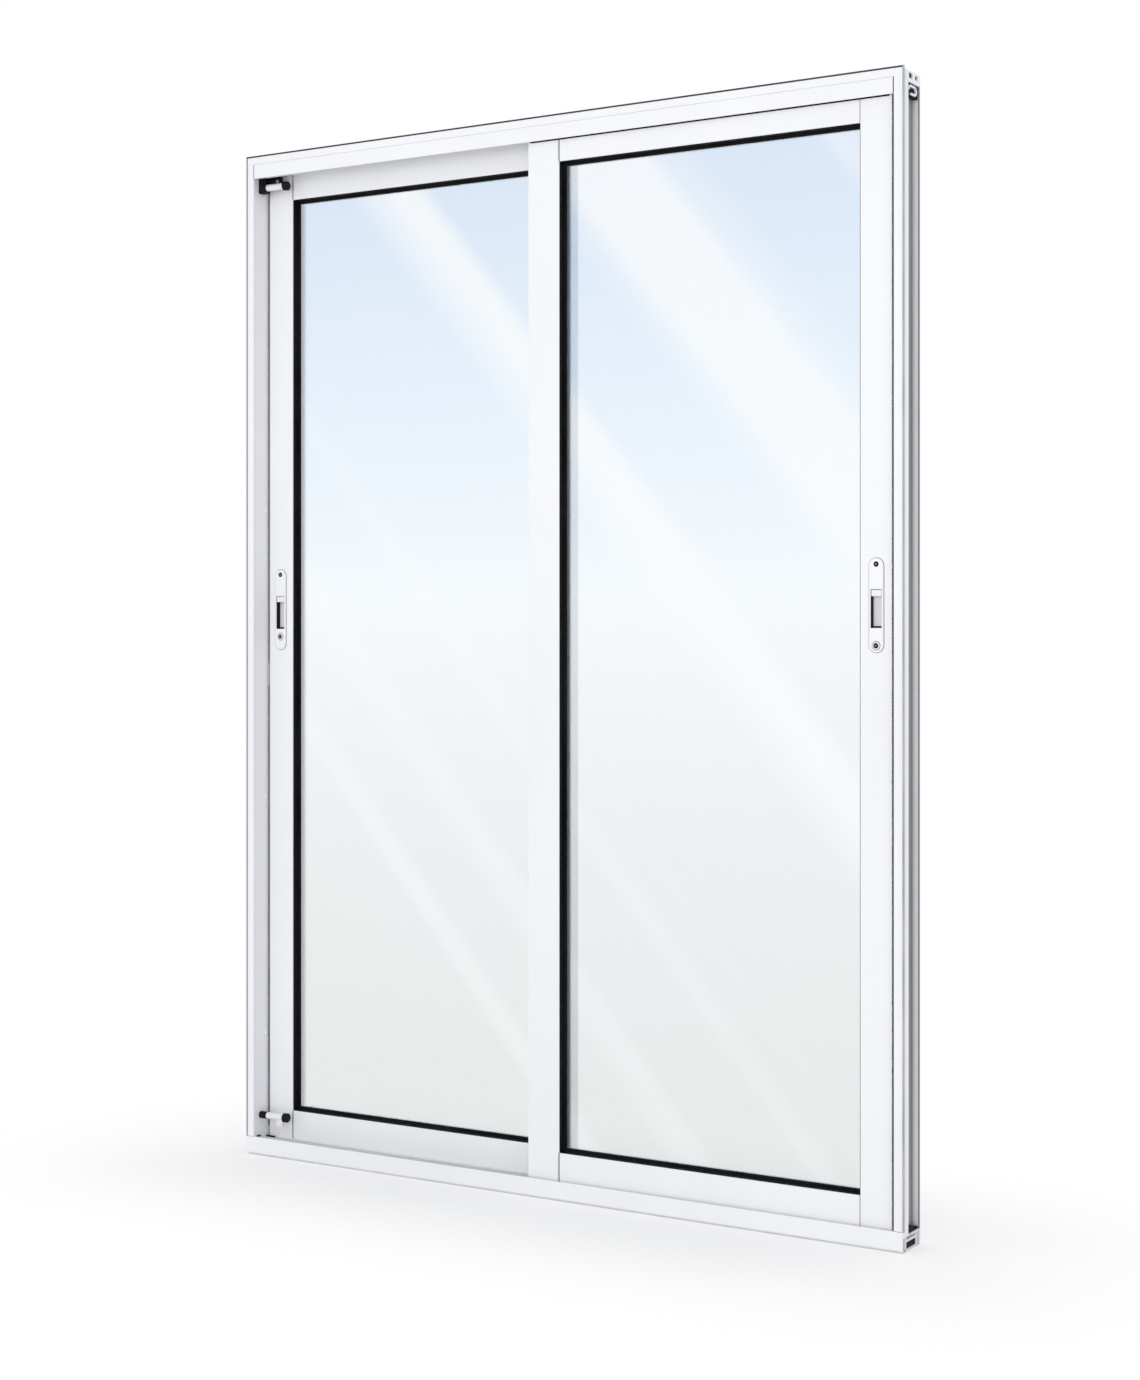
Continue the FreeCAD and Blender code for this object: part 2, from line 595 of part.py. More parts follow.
    def rail(self, glass_edge, free_edge, channel_depth):
        """Return a rail with a glazing pocket at its glass edge and an open channel at its free edge."""
        way = 1 if glass_edge > free_edge else -1
        pocket = (GLASS_DEPTH - GASKET_WALL, GLASS_DEPTH + GLASS_THICKNESS + GASKET_WALL)
        floor = glass_edge - way * POCKET_DEPTH
        wall = way * PANEL_WALL
        channel = free_edge + way * channel_depth
        rear = PANEL_DEPTH
        corners = [(0, glass_edge, EDGE_RADIUS), (pocket[0], glass_edge), (pocket[0], floor)]
        corners += [(pocket[1], floor), (pocket[1], glass_edge), (rear, glass_edge)]
        corners += [(rear, free_edge, LIP_RADIUS), (rear - PANEL_WALL, free_edge, LIP_RADIUS)]
        corners += [(rear - PANEL_WALL, channel), (PANEL_WALL, channel)]
        corners += [(PANEL_WALL, free_edge, LIP_RADIUS), (0, free_edge, LIP_RADIUS)]
        chamber = [(PANEL_WALL, glass_edge - wall), (pocket[0] - PANEL_WALL, glass_edge - wall)]
        chamber += [(pocket[0] - PANEL_WALL, floor - wall), (rear - PANEL_WALL, floor - wall)]
        chamber += [(rear - PANEL_WALL, channel + wall), (PANEL_WALL, channel + wall)]
        turned = [(c[0] + self.face,) + tuple(c[1:]) for c in corners]
        hollow = [(c[0] + self.face, c[1]) for c in chamber]
        rail = extrude_along(turned, [hollow], self.across(self.meeting_inner, PANEL_INNER))
        wide, deep = JOINT_LINE
        heights = (glass_edge, free_edge)
        lines = [box(self.across(start, start + wide), self.deep(0, deep), heights)
                 for start in (self.meeting_inner, PANEL_INNER - wide)]
        return rail.cut(Part.Compound(lines))

    def top_rail(self):
        """Return the rail that the head's guide fin runs in."""
        return self.rail(TOP_RAIL_BOTTOM, PANEL_TOP, RAIL_CHANNEL_DEPTH)

    def bottom_rail(self):
        """Return the rail that covers the rollers."""
        return self.rail(BOTTOM_RAIL_TOP, PANEL_BOTTOM, ROLLER_CHANNEL_DEPTH)

    def opening(self, grow, near, far):
        """Return a block that fills the panel's opening, grown outwards, between two depths."""
        return box(self.across(self.meeting_inner - grow, PANEL_INNER + grow), self.deep(near, far),
                   (BOTTOM_RAIL_TOP - grow, TOP_RAIL_BOTTOM + grow))

    def glass(self):
        """Return the single pane."""
        return self.opening(POCKET_DEPTH - GASKET_WALL, GLASS_DEPTH, GLASS_DEPTH + GLASS_THICKNESS)

    def gasket(self):
        """Return the black liner of the reveal, with its lips on the glass."""
        behind = GLASS_DEPTH + GLASS_THICKNESS
        liner = self.opening(0, GASKET_FRONT, GLASS_DEPTH).cut(self.opening(-GASKET_WALL, 0, GLASS_DEPTH))
        lip = self.opening(0, GLASS_DEPTH - GASKET_LIP_THICKNESS, GLASS_DEPTH)
        lip = lip.cut(self.opening(-GASKET_LIP, 0, GLASS_DEPTH))
        channel = self.opening(POCKET_DEPTH, GLASS_DEPTH - GASKET_WALL, behind + GASKET_WALL)
        channel = channel.cut(self.opening(-GASKET_REAR_LIP, 0, PANEL_DEPTH))
        return fuse([liner, lip, channel.cut(self.glass())])

    def carriage_places(self):
        """Yield the X of each roller carriage."""
        for distance in (CARRIAGE_FROM_EDGE - self.meeting_edge, PANEL_EDGE - CARRIAGE_FROM_EDGE):
            yield self.side * distance

    def rollers(self):
        """Return the grooved wheels with their axles, and the carriages that hold them."""
        wheels = []
        carriages = []
        axle_height = RAIL_TOP + ROLLER_GAP + ROLLER_GROOVE_RADIUS
        roof = PANEL_BOTTOM + ROLLER_CHANNEL_DEPTH
        y = depth(self.track)
        half = ROLLER_WIDTH / 2
        groove = ROLLER_GROOVE_WIDTH / 2
        for x in self.carriage_places():
            rim = [(0, -half), (ROLLER_FLANGE_RADIUS, -half), (ROLLER_GROOVE_RADIUS, -groove)]
            rim += [(ROLLER_GROOVE_RADIUS, groove), (ROLLER_FLANGE_RADIUS, half), (0, half)]
            points = [FreeCAD.Vector(x + r, y + along, axle_height) for r, along in rim + rim[:1]]
            wheel = Part.Face(Part.makePolygon(points)).revolve(
                FreeCAD.Vector(x, y, axle_height), FreeCAD.Vector(0, 1, 0), 360)
            axle = cylinder(AXLE_RADIUS, (x, y - CARRIAGE_WIDTH / 2, axle_height), (0, 1, 0), CARRIAGE_WIDTH)
            wheels.append(fuse([wheel, axle]))
            block = box((x - CARRIAGE_LENGTH / 2, x + CARRIAGE_LENGTH / 2),
                        (y - CARRIAGE_WIDTH / 2, y + CARRIAGE_WIDTH / 2), (CARRIAGE_BOTTOM, roof))
            slot_half = ROLLER_FLANGE_RADIUS + WHEEL_END_GAP
            slot = box((x - slot_half, x + slot_half), (y - half - WHEEL_SIDE_GAP, y + half + WHEEL_SIDE_GAP),
                       (CARRIAGE_BOTTOM, roof - CARRIAGE_ROOF))
            axle_half = AXLE_RADIUS + AXLE_GAP
            axle_slot = box((x - axle_half, x + axle_half), (y - CARRIAGE_WIDTH / 2, y + CARRIAGE_WIDTH / 2),
                            (CARRIAGE_BOTTOM, axle_height + axle_half))
            carriages.append(block.cut(Part.Compound([slot, axle_slot])))
        return wheels, carriages

    def top_guides(self):
        """Return the slotted guides that ride on the head's fin."""
        floor = PANEL_TOP - RAIL_CHANNEL_DEPTH
        y = depth(self.track)
        guides = []
        for x in self.carriage_places():
            length = (x - GUIDE_LENGTH / 2, x + GUIDE_LENGTH / 2)
            block = box(length, self.deep(PANEL_WALL, PANEL_DEPTH - PANEL_WALL),
                        (floor, PANEL_TOP - GUIDE_DROP))
            slot = box(length, (y - GUIDE_SLOT / 2, y + GUIDE_SLOT / 2), (floor + GUIDE_FLOOR, PANEL_TOP))
            guides.append(block.cut(slot))
        return guides

    def latch_middle(self):
        """Return the X of the latch's middle line."""
        return self.side * (PANEL_EDGE - LATCH_FROM_EDGE)

    def latch_plate(self):
        """Return the oblong latch plate with its finger cup."""
        x = self.latch_middle()
        radius = LATCH_WIDTH / 2
        face = depth(self.face)
        plate = box((x - radius, x + radius), (face - LATCH_PROUD, face),
                    (LATCH_BOTTOM + radius, LATCH_TOP - radius))
        ends = [cylinder(radius, (x, face - LATCH_PROUD, z), (0, 1, 0), LATCH_PROUD)
                for z in (LATCH_BOTTOM + radius, LATCH_TOP - radius)]
        plate = fuse([plate] + ends)
        front = [edge for edge in plate.Edges if abs(edge.CenterOfMass.y - (face - LATCH_PROUD)) < 0.01]
        plate = plate.makeChamfer(LATCH_CHAMFER, front)
        half = WINDOW_WIDTH / 2
        bottom = face - LATCH_PROUD + CUP_DEPTH
        cup = box((x - half - CUP_WALL, x + half + CUP_WALL), (face, bottom + CUP_WALL),
                  (WINDOW_BOTTOM - CUP_WALL, WINDOW_TOP + CUP_WALL))
        hollow = box((x - half, x + half), (face - LATCH_PROUD, bottom), (WINDOW_BOTTOM, WINDOW_TOP))
        return fuse([plate, cup]).cut(hollow)

    def latch_thumb(self):
        """Return the thumb slide at the top of the cup."""
        x = self.latch_middle()
        half = WINDOW_WIDTH / 2 - THUMB_GAP
        front = depth(self.face) - LATCH_PROUD + THUMB_RECESS
        back = depth(self.face) - LATCH_PROUD + CUP_DEPTH - THUMB_GAP
        top = WINDOW_TOP - THUMB_GAP
        bottom = top - THUMB_HEIGHT
        block = box((x - half, x + half), (front, back), (bottom, top))
        lips = [edge for edge in block.Edges if abs(edge.CenterOfMass.y - front) < TINY]
        block = block.makeChamfer(THUMB_CHAMFER, lips)
        tall, deep = GRIP_GROOVE
        grooves = []
        for z in GRIP_HEIGHTS:
            groove_z = (bottom + z - tall / 2, bottom + z + tall / 2)
            grooves.append(box((x - half, x + half), (front, front + deep), groove_z))
        return block.cut(Part.Compound(grooves))

    def save(self):
        """Write every node of the panel."""
        wheels, carriages = self.rollers()
        save(self.name + "_outer_stile", [self.outer_stile()])
        save(self.name + "_meeting_stile", [self.meeting_stile()])
        save(self.name + "_interlock", [self.interlock()])
        save(self.name + "_top_rail", [self.top_rail()])
        save(self.name + "_bottom_rail", [self.bottom_rail()])
        save(self.name + "_glass", [self.glass()])
        save(self.name + "_gasket", [self.gasket()])
        save(self.name + "_rollers", wheels)
        save(self.name + "_roller_carriages", carriages)
        save(self.name + "_top_guides", self.top_guides())
        save(self.name + "_latch_plate", [self.latch_plate()])
        save(self.name + "_latch_thumb", [self.latch_thumb()])


def main():
    """Build the door and write its nodes."""
    os.makedirs("parts", exist_ok=True)
    save("sill", [make_sill()])
    save("sill_front_cover", [make_sill_cover()])
    save("sill_rear_cover", [make_sill_cover(rear=True)])
    save("head", [make_head()])
    save("head_front_fascia", [make_fascia()])
    save("head_rear_fascia", [make_fascia(rear=True)])
    for name, track in zip(("front", "back"), TRACKS):
        save(name + "_roller_rail", [make_roller_rail(track)])
        save(name + "_guide_rail", [make_guide_rail(track)])
    save("corner_blocks", make_corner_blocks())
    save("head_corner_rings", make_corner_rings())
    save("end_plugs", make_end_plugs())
    save("strike_plates", [make_strike_plate(-1), make_strike_plate(1)])
    save("left_jamb", [make_jamb(-1)])
    save("right_jamb", [make_jamb(1)])
    save("left_jamb_seal", [make_seal_strip(-1)])
    save("right_jamb_seal", [make_seal_strip(1)])
    save("head_seal", [make_head_seal()])
    places = list(stop_places())
    save("stop_feet", [make_stop_foot(*place) for place in places])
    save("stop_barrels", [make_stop_barrel(*place) for place in places])
    save("stop_tips", [make_stop_tip(*place) for place in places])
    Panel("left_panel", -1, BACK_PANEL_FACE, -1).save()
    Panel("right_panel", 1, FRONT_PANEL_FACE, 1).save()


main()
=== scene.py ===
import logging
import math
from dataclasses import dataclass, fields, replace
from enum import Enum
from typing import Any, ClassVar, Sequence

import bmesh
import bpy
from mathutils import Matrix, Vector


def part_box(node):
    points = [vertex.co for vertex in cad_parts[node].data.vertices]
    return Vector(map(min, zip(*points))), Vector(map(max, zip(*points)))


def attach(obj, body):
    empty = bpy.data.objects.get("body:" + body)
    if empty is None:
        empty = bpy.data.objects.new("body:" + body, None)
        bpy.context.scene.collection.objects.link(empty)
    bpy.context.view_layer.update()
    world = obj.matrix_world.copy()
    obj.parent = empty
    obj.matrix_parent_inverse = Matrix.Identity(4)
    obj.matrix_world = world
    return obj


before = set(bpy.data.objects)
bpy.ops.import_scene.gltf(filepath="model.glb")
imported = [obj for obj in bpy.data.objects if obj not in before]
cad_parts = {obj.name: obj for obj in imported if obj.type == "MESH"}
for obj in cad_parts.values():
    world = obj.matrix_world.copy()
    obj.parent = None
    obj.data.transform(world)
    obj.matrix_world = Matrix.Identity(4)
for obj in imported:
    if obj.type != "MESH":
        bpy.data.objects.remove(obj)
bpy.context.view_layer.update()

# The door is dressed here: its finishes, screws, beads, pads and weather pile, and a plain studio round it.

LOG = logging.getLogger("patio_door")
MM = 0.001

Colour = tuple[float, float, float]
Triple = tuple[float, float, float]
Pair = tuple[float, float]
Block = tuple[Triple, Triple]
Uniform = tuple[tuple[str, float], ...]
Socket = bpy.types.NodeSocket

# What a noise reaches of its range from 0 to 1, and the part of it over which a colour changes
NOISE_RANGE: Pair = (0.3, 0.7)
TONE_RANGE: Pair = (0.35, 0.65)
WHITE: Colour = (1.0, 1.0, 1.0)
ZERO: Triple = (0.0, 0.0, 0.0)
ALONG: Triple = (1.0, 0.0, 0.0)
UPRIGHT: Triple = (0.0, 0.0, 1.0)
# The turn that points a part built along +Z to the front of the door
FRONT_TURN: Triple = (math.pi / 2, 0.0, 0.0)
AS_BUILT: Matrix = Matrix.Identity(4).freeze()


class Body(Enum):
    """The rigid bodies that pieces ride on."""

    FRAME = "frame"
    LEFT_PANEL = "left_panel"
    RIGHT_PANEL = "right_panel"


class Slot(Enum):
    """The record's material slots."""

    WHITE_ALUMINIUM = "white_aluminium"
    RAIL_ALUMINIUM = "rail_aluminium"
    CLEAR_GLASS = "clear_glass"
    BLACK_GASKET = "black_gasket"
    GREY_SEAL = "grey_seal"
    LATCH_WHITE = "latch_white"
    WHITE_PLASTIC = "white_plastic"
    BLACK_PLASTIC = "black_plastic"
    BLACK_RUBBER = "black_rubber"
    ROLLER_STEEL = "roller_steel"
    GUIDE_NYLON = "guide_nylon"


class NodeSheet:
    """A node tree, with short calls for the nodes that finishes, studio and shapes share."""

    MIX_COLOURS: ClassVar[tuple[int, int]] = (6, 7)
    MIX_RESULT: ClassVar[int] = 2

    def __init__(self, tree: bpy.types.NodeTree) -> None:
        """Take the tree that is built in."""
        self.tree = tree

    def add(self, kind: str, inputs: dict[Any, Any] | None = None, **settings: Any) -> bpy.types.Node:
        """Add a node and set or join its inputs.

        Args:
            kind: The node's type.
            inputs: Sockets or plain values by input name or place.
            settings: Properties of the node to set.

        Returns:
            The new node.
        """
        node = self.tree.nodes.new(kind)
        for key, value in settings.items():
            setattr(node, key, value)
        for key, value in (inputs or {}).items():
            if isinstance(value, Socket):
                self.tree.links.new(value, node.inputs[key])
            else:
                node.inputs[key].default_value = value
        return node

    def maths(self, operation: str, first: Any, second: Any = 0.0) -> Socket:
        """Return the result of a Math node on sockets or numbers."""
        return self.add("ShaderNodeMath", {0: first, 1: second}, operation=operation).outputs[0]

    def ramp(self, source: Socket, places: Sequence[float], colours: Sequence[Colour]) -> Socket:
        """Turn a value into a colour.

        Args:
            source: The value.
            places: Places along the value.
            colours: The colour at each place.

        Returns:
            The colour.
        """
        node = self.add("ShaderNodeValToRGB", {"Fac": source})
        points = node.color_ramp.elements
        while len(points) < len(places):
            points.new(1.0)
        for point, place, colour in zip(points, places, colours):
            point.position = place
            point.color = (*colour, 1.0)
        return node.outputs["Color"]

    def remap(self, source: Socket, old: Pair, new: Pair, soft: bool = False) -> Socket:
        """Carry a value from one range to another and hold it there.

        Args:
            source: The value.
            old: The range that it comes in.
            new: The range that it leaves in.
            soft: Whether the change eases in and out.

        Returns:
            The carried value.
        """
        limits = {"Value": source, "From Min": old[0], "From Max": old[1], "To Min": new[0], "To Max": new[1]}
        kind = "SMOOTHSTEP" if soft else "LINEAR"
        return self.add("ShaderNodeMapRange", limits, interpolation_type=kind).outputs["Result"]

    def mix(self, share: Any, first: Any, second: Any) -> Socket:
        """Mix two colours.

        Args:
            share: How much of the second colour shows.
            first: The colour at share 0.
            second: The colour at share 1.

        Returns:
            The mixed colour.
        """
        inputs = {0: share}
        for place, value in zip(self.MIX_COLOURS, (first, second)):
            inputs[place] = value if isinstance(value, Socket) else (*value, 1.0)
        return self.add("ShaderNodeMix", inputs, data_type="RGBA").outputs[self.MIX_RESULT]

    def blend(self, share: Any, first: bpy.types.Node, second: bpy.types.Node) -> bpy.types.Node:
        """Mix two shader nodes and return the mixing node."""
        return self.add("ShaderNodeMixShader", {0: share, 1: first.outputs[0], 2: second.outputs[0]})

    def seen(self) -> Socket:
        """Return 1 for what the camera sees, straight or through glass, else 0."""
        path = self.add("ShaderNodeLightPath").outputs
        return self.maths("MAXIMUM", path["Is Camera Ray"], path["Is Transmission Ray"])


@dataclass(frozen=True)
class Noise:
    """A soft noise: its cells a metre along X, Y and Z, and how many finer octaves are added."""

    cells: Triple
    detail: float = 2.0


class SurfaceSheet(NodeSheet):
    """A material's tree, read in the piece's own Object coordinates."""

    def __init__(self, name: str) -> None:
        """Start a material.

        Args:
            name: The material's name.
        """
        self.material = bpy.data.materials.new(name)
        self.material.use_nodes = True
        super().__init__(self.material.node_tree)
        self.shader = self.tree.nodes["Principled BSDF"]
        self.places = self.add("ShaderNodeTexCoord").outputs["Object"]

    def axis(self, name: str) -> Socket:
        """Return the place along one axis."""
        return self.add("ShaderNodeSeparateXYZ", {0: self.places}).outputs[name]

    def noise(self, noise: Noise) -> Socket:
        """Return a noise over the surface.

        Args:
            noise: The noise's cells and detail.

        Returns:
            The noise, mostly within NOISE_RANGE.
        """
        stretched = self.add("ShaderNodeMapping", {"Vector": self.places, "Scale": noise.cells}).outputs[0]
        values = {"Vector": stretched, "Scale": 1.0, "Detail": noise.detail}
        return self.add("ShaderNodeTexNoise", values).outputs["Fac"]

    def level(self, noise: Noise, limits: Pair) -> Socket:
        """Return a value that changes between two limits with a noise."""
        return self.remap(self.noise(noise), NOISE_RANGE, limits)

    def drive(self, name: str, source: Socket) -> None:
        """Join a socket to one of the shader's inputs."""
        self.tree.links.new(source, self.shader.inputs[name])

    def within(self, source: Socket, limits: Pair) -> Socket:
        """Return 1 where a value lies between two limits, else 0."""
        above = self.maths("GREATER_THAN", source, limits[0])
        return self.maths("MULTIPLY", above, self.maths("LESS_THAN", source, limits[1]))


@dataclass(frozen=True)
class Finish:
    """A finish that a maker would name, with its material slot.

    Its colour follows the clouds and its gloss the sheen, over a fine grain. Where sheen or grain is
    None, the clouds take its place, and a grain of strength 0 is left out.
    """

    name: str
    slot: Slot
    dark: Colour
    light: Colour
    roughness: Pair
    clouds: Noise
    sheen: Noise | None = None
    grain: Noise | None = None
    grain_strength: float = 0.0
    grain_height: float = 0.0
    uniform: Uniform = ()

    def material(self) -> bpy.types.Material:
        """Return the finish's material, made once."""
        known = bpy.data.materials.get(self.name)
        return known if known else self.make()

    def make(self) -> bpy.types.Material:
        """Make the material.

        Returns:
            The material.
        """
        sheet = SurfaceSheet(self.name)
        for name, value in self.uniform:
            sheet.shader.inputs[name].default_value = value
        sheet.drive("Base Color", self.colour(sheet))
        sheet.drive("Roughness", sheet.level(self.sheen or self.clouds, self.roughness))
        if self.grain_strength:
            relief = {"Height": sheet.noise(self.grain or self.clouds), "Strength": self.grain_strength,
                      "Distance": self.grain_height}
            sheet.drive("Normal", sheet.add("ShaderNodeBump", relief).outputs["Normal"])
        return sheet.material

    def colour(self, sheet: SurfaceSheet) -> Socket:
        """Return the cloudy colour."""
        return sheet.ramp(sheet.noise(self.clouds), TONE_RANGE, (self.dark, self.light))


@dataclass(frozen=True)
class PowderCoat(Finish):
    """White powder coat: cloudy, unevenly glossy, with a faint orange peel."""

    dark: Colour = (0.855, 0.86, 0.882)
    light: Colour = (0.885, 0.89, 0.91)
    roughness: Pair = (0.34, 0.46)
    clouds: Noise = Noise((3.0, 3.0, 1.6), 3.0)
    sheen: Noise = Noise((14.0, 14.0, 5.0))
    grain: Noise = Noise((420.0, 420.0, 420.0), 1.0)
    grain_strength: float = 0.35
    grain_height: float = 0.06 * MM


@dataclass(frozen=True)
class ChannelCoat(PowderCoat):
    """The jambs' coat: the wall channel stays bare metal, with painted shade darkening it towards its edges.
    """

    channel_x: Pair = (725.4 * MM, 740.1 * MM)
    channel_y: Pair = (-13.2 * MM, 37.7 * MM)
    shade_places: tuple[float, ...] = (0.0, 0.10, 0.50, 0.76, 0.86)
    tones: tuple[float, ...] = (0.18, 0.70, 0.95, 0.88, 0.10)
    metal_blue: float = 1.03
    worn: Colour = (0.48, 0.482, 0.49)
    streaks: Noise = Noise((260.0, 260.0, 1.2), 3.0)
    streak_share: Pair = (0.0, 0.35)

    def colour(self, sheet: SurfaceSheet) -> Socket:
        """Return the cloudy white, with streaked bare metal under painted shade in the channel.

        Args:
            sheet: The material's tree.

        Returns:
            The colour.
        """
        out = sheet.maths("ABSOLUTE", sheet.axis("X"))
        deep = sheet.within(sheet.axis("Y"), self.channel_y)
        inside = sheet.maths("MULTIPLY", sheet.within(out, self.channel_x), deep)
        across = sheet.remap(out, self.channel_x, (0.0, 1.0))
        # painted shade: the bare metal's tones fall dark at the web and at the flanges' edges, where the
        # channel is shaded
        metal = [(tone, tone, tone * self.metal_blue) for tone in self.tones]
        bare = sheet.ramp(across, self.shade_places, metal)
        streaked = sheet.mix(sheet.level(self.streaks, self.streak_share), bare, self.worn)
        return sheet.mix(inside, super().colour(sheet), streaked)


@dataclass(frozen=True)
class FootShadedCoat(PowderCoat):
    """The sill's coat, with painted shade: grey just above the floor."""

    scuff: Colour = (0.56, 0.565, 0.58)
    foot_shade_heights: Pair = (1.5 * MM, 5.0 * MM)
    scuffs: Noise = Noise((35.0, 35.0, 90.0), 3.0)
    foot_shade_share: Pair = (0.6, 1.0)

    def colour(self, sheet: SurfaceSheet) -> Socket:
        """Return the cloudy white, with uneven painted shade at its foot.

        Args:
            sheet: The material's tree.

        Returns:
            The colour.
        """
        # painted shade: the sill's lowest 5 mm turn grey, where shade falls by the floor
        foot = sheet.remap(sheet.axis("Z"), self.foot_shade_heights, (1.0, 0.0), soft=True)
        foot_shade_mask = sheet.maths("MULTIPLY", foot, sheet.level(self.scuffs, self.foot_shade_share))
        return sheet.mix(foot_shade_mask, super().colour(sheet), self.scuff)


@dataclass(frozen=True)
class MillMetal(Finish):
    """Bare metal with fine drawn or turned lines."""

    dark: Colour = (0.50, 0.505, 0.51)
    light: Colour = (0.68, 0.685, 0.69)
    roughness: Pair = (0.28, 0.48)
    clouds: Noise = Noise((1.5, 900.0, 900.0), 3.0)
    grain_strength: float = 0.3
    grain_height: float = 0.03 * MM
    uniform: Uniform = (("Metallic", 1.0),)


@dataclass(frozen=True)
class SoftRubber(Finish):
    """Rubber or foam: dull, faintly chalky and finely grained."""

    dark: Colour = (0.005, 0.005, 0.006)
    light: Colour = (0.013, 0.013, 0.015)
    roughness: Pair = (0.5, 0.7)
    clouds: Noise = Noise((9.0, 9.0, 9.0), 4.0)
    grain: Noise = Noise((900.0, 900.0, 900.0))
    grain_strength: float = 0.5
    grain_height: float = 0.08 * MM
    uniform: Uniform = (("Specular IOR Level", 0.16),)


@dataclass(frozen=True)
class MouldedNylon(Finish):
    """Moulded plastic: flow marks in the colour and a fine spark-eroded grain."""

    dark: Colour = (0.80, 0.80, 0.805)
    light: Colour = (0.86, 0.86, 0.865)
    roughness: Pair = (0.38, 0.5)
    clouds: Noise = Noise((60.0, 90.0, 60.0))
    grain: Noise = Noise((1400.0, 1400.0, 1400.0), 1.0)
    grain_strength: float = 0.4
    grain_height: float = 0.04 * MM
    uniform: Uniform = (("Specular IOR Level", 0.5),)


@dataclass(frozen=True)
class PaneGlass(Finish):
    """Clear float glass with a reflective coating, a faint roller wave and the odd wiping smear."""

    dark: Colour = (0.95, 0.972, 0.972)
    light: Colour = (0.94, 0.97, 0.988)
    roughness: Pair = (0.0, 0.02)
    clouds: Noise = Noise((0.7, 0.7, 0.7))
    sheen: Noise = Noise((6.0, 1.0, 2.2), 3.0)
    grain: Noise = Noise((1.2, 1.0, 5.0), 0.0)
    grain_strength: float = 0.25
    grain_height: float = 0.12 * MM
    uniform: Uniform = (
        ("Transmission Weight", 1.0), ("IOR", 1.5), ("Coat Weight", 1.0), ("Coat IOR", 3.3),
        ("Coat Roughness", 0.0))


@dataclass(frozen=True)
class PileFibre(Finish):
    """Fibre of the weather pile, speckled from tuft to tuft."""

    dark: Colour = (0.005, 0.005, 0.006)
    light: Colour = (0.02, 0.02, 0.022)
    roughness: Pair = (0.75, 0.95)
    clouds: Noise = Noise((260.0, 260.0, 260.0), 1.0)
    uniform: Uniform = (("Specular IOR Level", 0.1),)


COATED = PowderCoat("white_powder_coat", Slot.WHITE_ALUMINIUM)
COATED_JAMB = ChannelCoat("white_powder_coat_bare_channel", Slot.WHITE_ALUMINIUM)
COATED_SILL = FootShadedCoat("white_powder_coat_painted_foot_shade", Slot.WHITE_ALUMINIUM)
LATCH_PAINT = PowderCoat(
    "latch_white_paint", Slot.LATCH_WHITE, dark=(0.86, 0.863, 0.875), light=(0.89, 0.893, 0.905),
    roughness=(0.26, 0.36), grain=Noise((900.0, 900.0, 900.0), 1.0), grain_height=0.04 * MM)
RAIL_METAL = MillMetal(
    "rail_mill_aluminium", Slot.RAIL_ALUMINIUM, dark=(0.76, 0.765, 0.77), light=(0.87, 0.875, 0.88),
    roughness=(0.4, 0.6), uniform=(("Metallic", 0.25),))
WHEEL_STEEL = MillMetal("roller_turned_steel", Slot.ROLLER_STEEL, clouds=Noise((40.0, 1200.0, 40.0), 3.0))
SCREW_STEEL = MillMetal(
    "screw_plated_steel", Slot.ROLLER_STEEL, dark=(0.42, 0.42, 0.43), light=(0.66, 0.66, 0.67),
    clouds=Noise((600.0, 600.0, 600.0), 3.0))
GLAZING = PaneGlass("coated_pane_glass", Slot.CLEAR_GLASS)
GASKET = SoftRubber("black_glazing_rubber", Slot.BLACK_GASKET)
SEAL = SoftRubber(
    "dark_seal_foam", Slot.GREY_SEAL, dark=(0.035, 0.035, 0.04), light=(0.07, 0.07, 0.076),
    roughness=(0.7, 0.9), grain=Noise((600.0, 600.0, 600.0)), grain_height=0.2 * MM)
PALE_SEAL = replace(SEAL, name="pale_seal_foam", dark=(0.36, 0.362, 0.37), light=(0.48, 0.482, 0.49))
# the joint sealant is dark so that it also paints the shade lines in the joint grooves and gaps; the pale
# copy keeps one joint line faint
BEAD = SoftRubber("joint_sealant", Slot.GREY_SEAL, dark=(0.03, 0.03, 0.034), light=(0.06, 0.06, 0.066))
PALE_BEAD = replace(BEAD, name="pale_joint_sealant", dark=(0.42, 0.42, 0.425), light=(0.52, 0.52, 0.53))
BUFFER = SoftRubber("black_buffer_rubber", Slot.BLACK_RUBBER, grain=Noise((1200.0, 1200.0, 1200.0)))
WHITE_NYLON = MouldedNylon("white_moulded_nylon", Slot.WHITE_PLASTIC)
BLACK_NYLON = MouldedNylon(
    "black_moulded_nylon", Slot.BLACK_PLASTIC, dark=(0.004, 0.004, 0.005), light=(0.011, 0.011, 0.012),
    roughness=(0.5, 0.65), uniform=(("Specular IOR Level", 0.14),))
GREY_NYLON = MouldedNylon(
    "grey_moulded_nylon", Slot.GUIDE_NYLON, dark=(0.30, 0.305, 0.315), light=(0.37, 0.375, 0.385))
# the black pile is real weather pile, darkened so that it also paints the shade in the gaps beside the jambs
# and under the fascia
PILE = PileFibre("black_weather_pile", Slot.GREY_SEAL)
# the pale pile is real weather pile, whitened so that it paints light into the shaded gap under the panels
PALE_PILE = replace(PILE, name="pale_weather_pile", dark=(0.90, 0.902, 0.91), light=(0.95, 0.952, 0.96))


def coat(finish: Finish, *nodes: str) -> None:
    """Give CAD nodes their finish.

    Args:
        finish: The finish that they take.
        nodes: The nodes' names.
    """
    for node in nodes:
        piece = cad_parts[node]
        if not piece.material_slots:
            piece.data.materials.append(None)
        for place in piece.material_slots:
            place.material = finish.material()
        LOG.info("%s finished in %s", node, finish.name)


def stand(name: str, data: bpy.types.ID) -> bpy.types.Object:
    """Put a new object in the scene.

    Args:
        name: The object's name.
        data: Its mesh, light or camera.

    Returns:
        The object.
    """
    item = bpy.data.objects.new(name, data)
    bpy.context.scene.collection.objects.link(item)
    return item


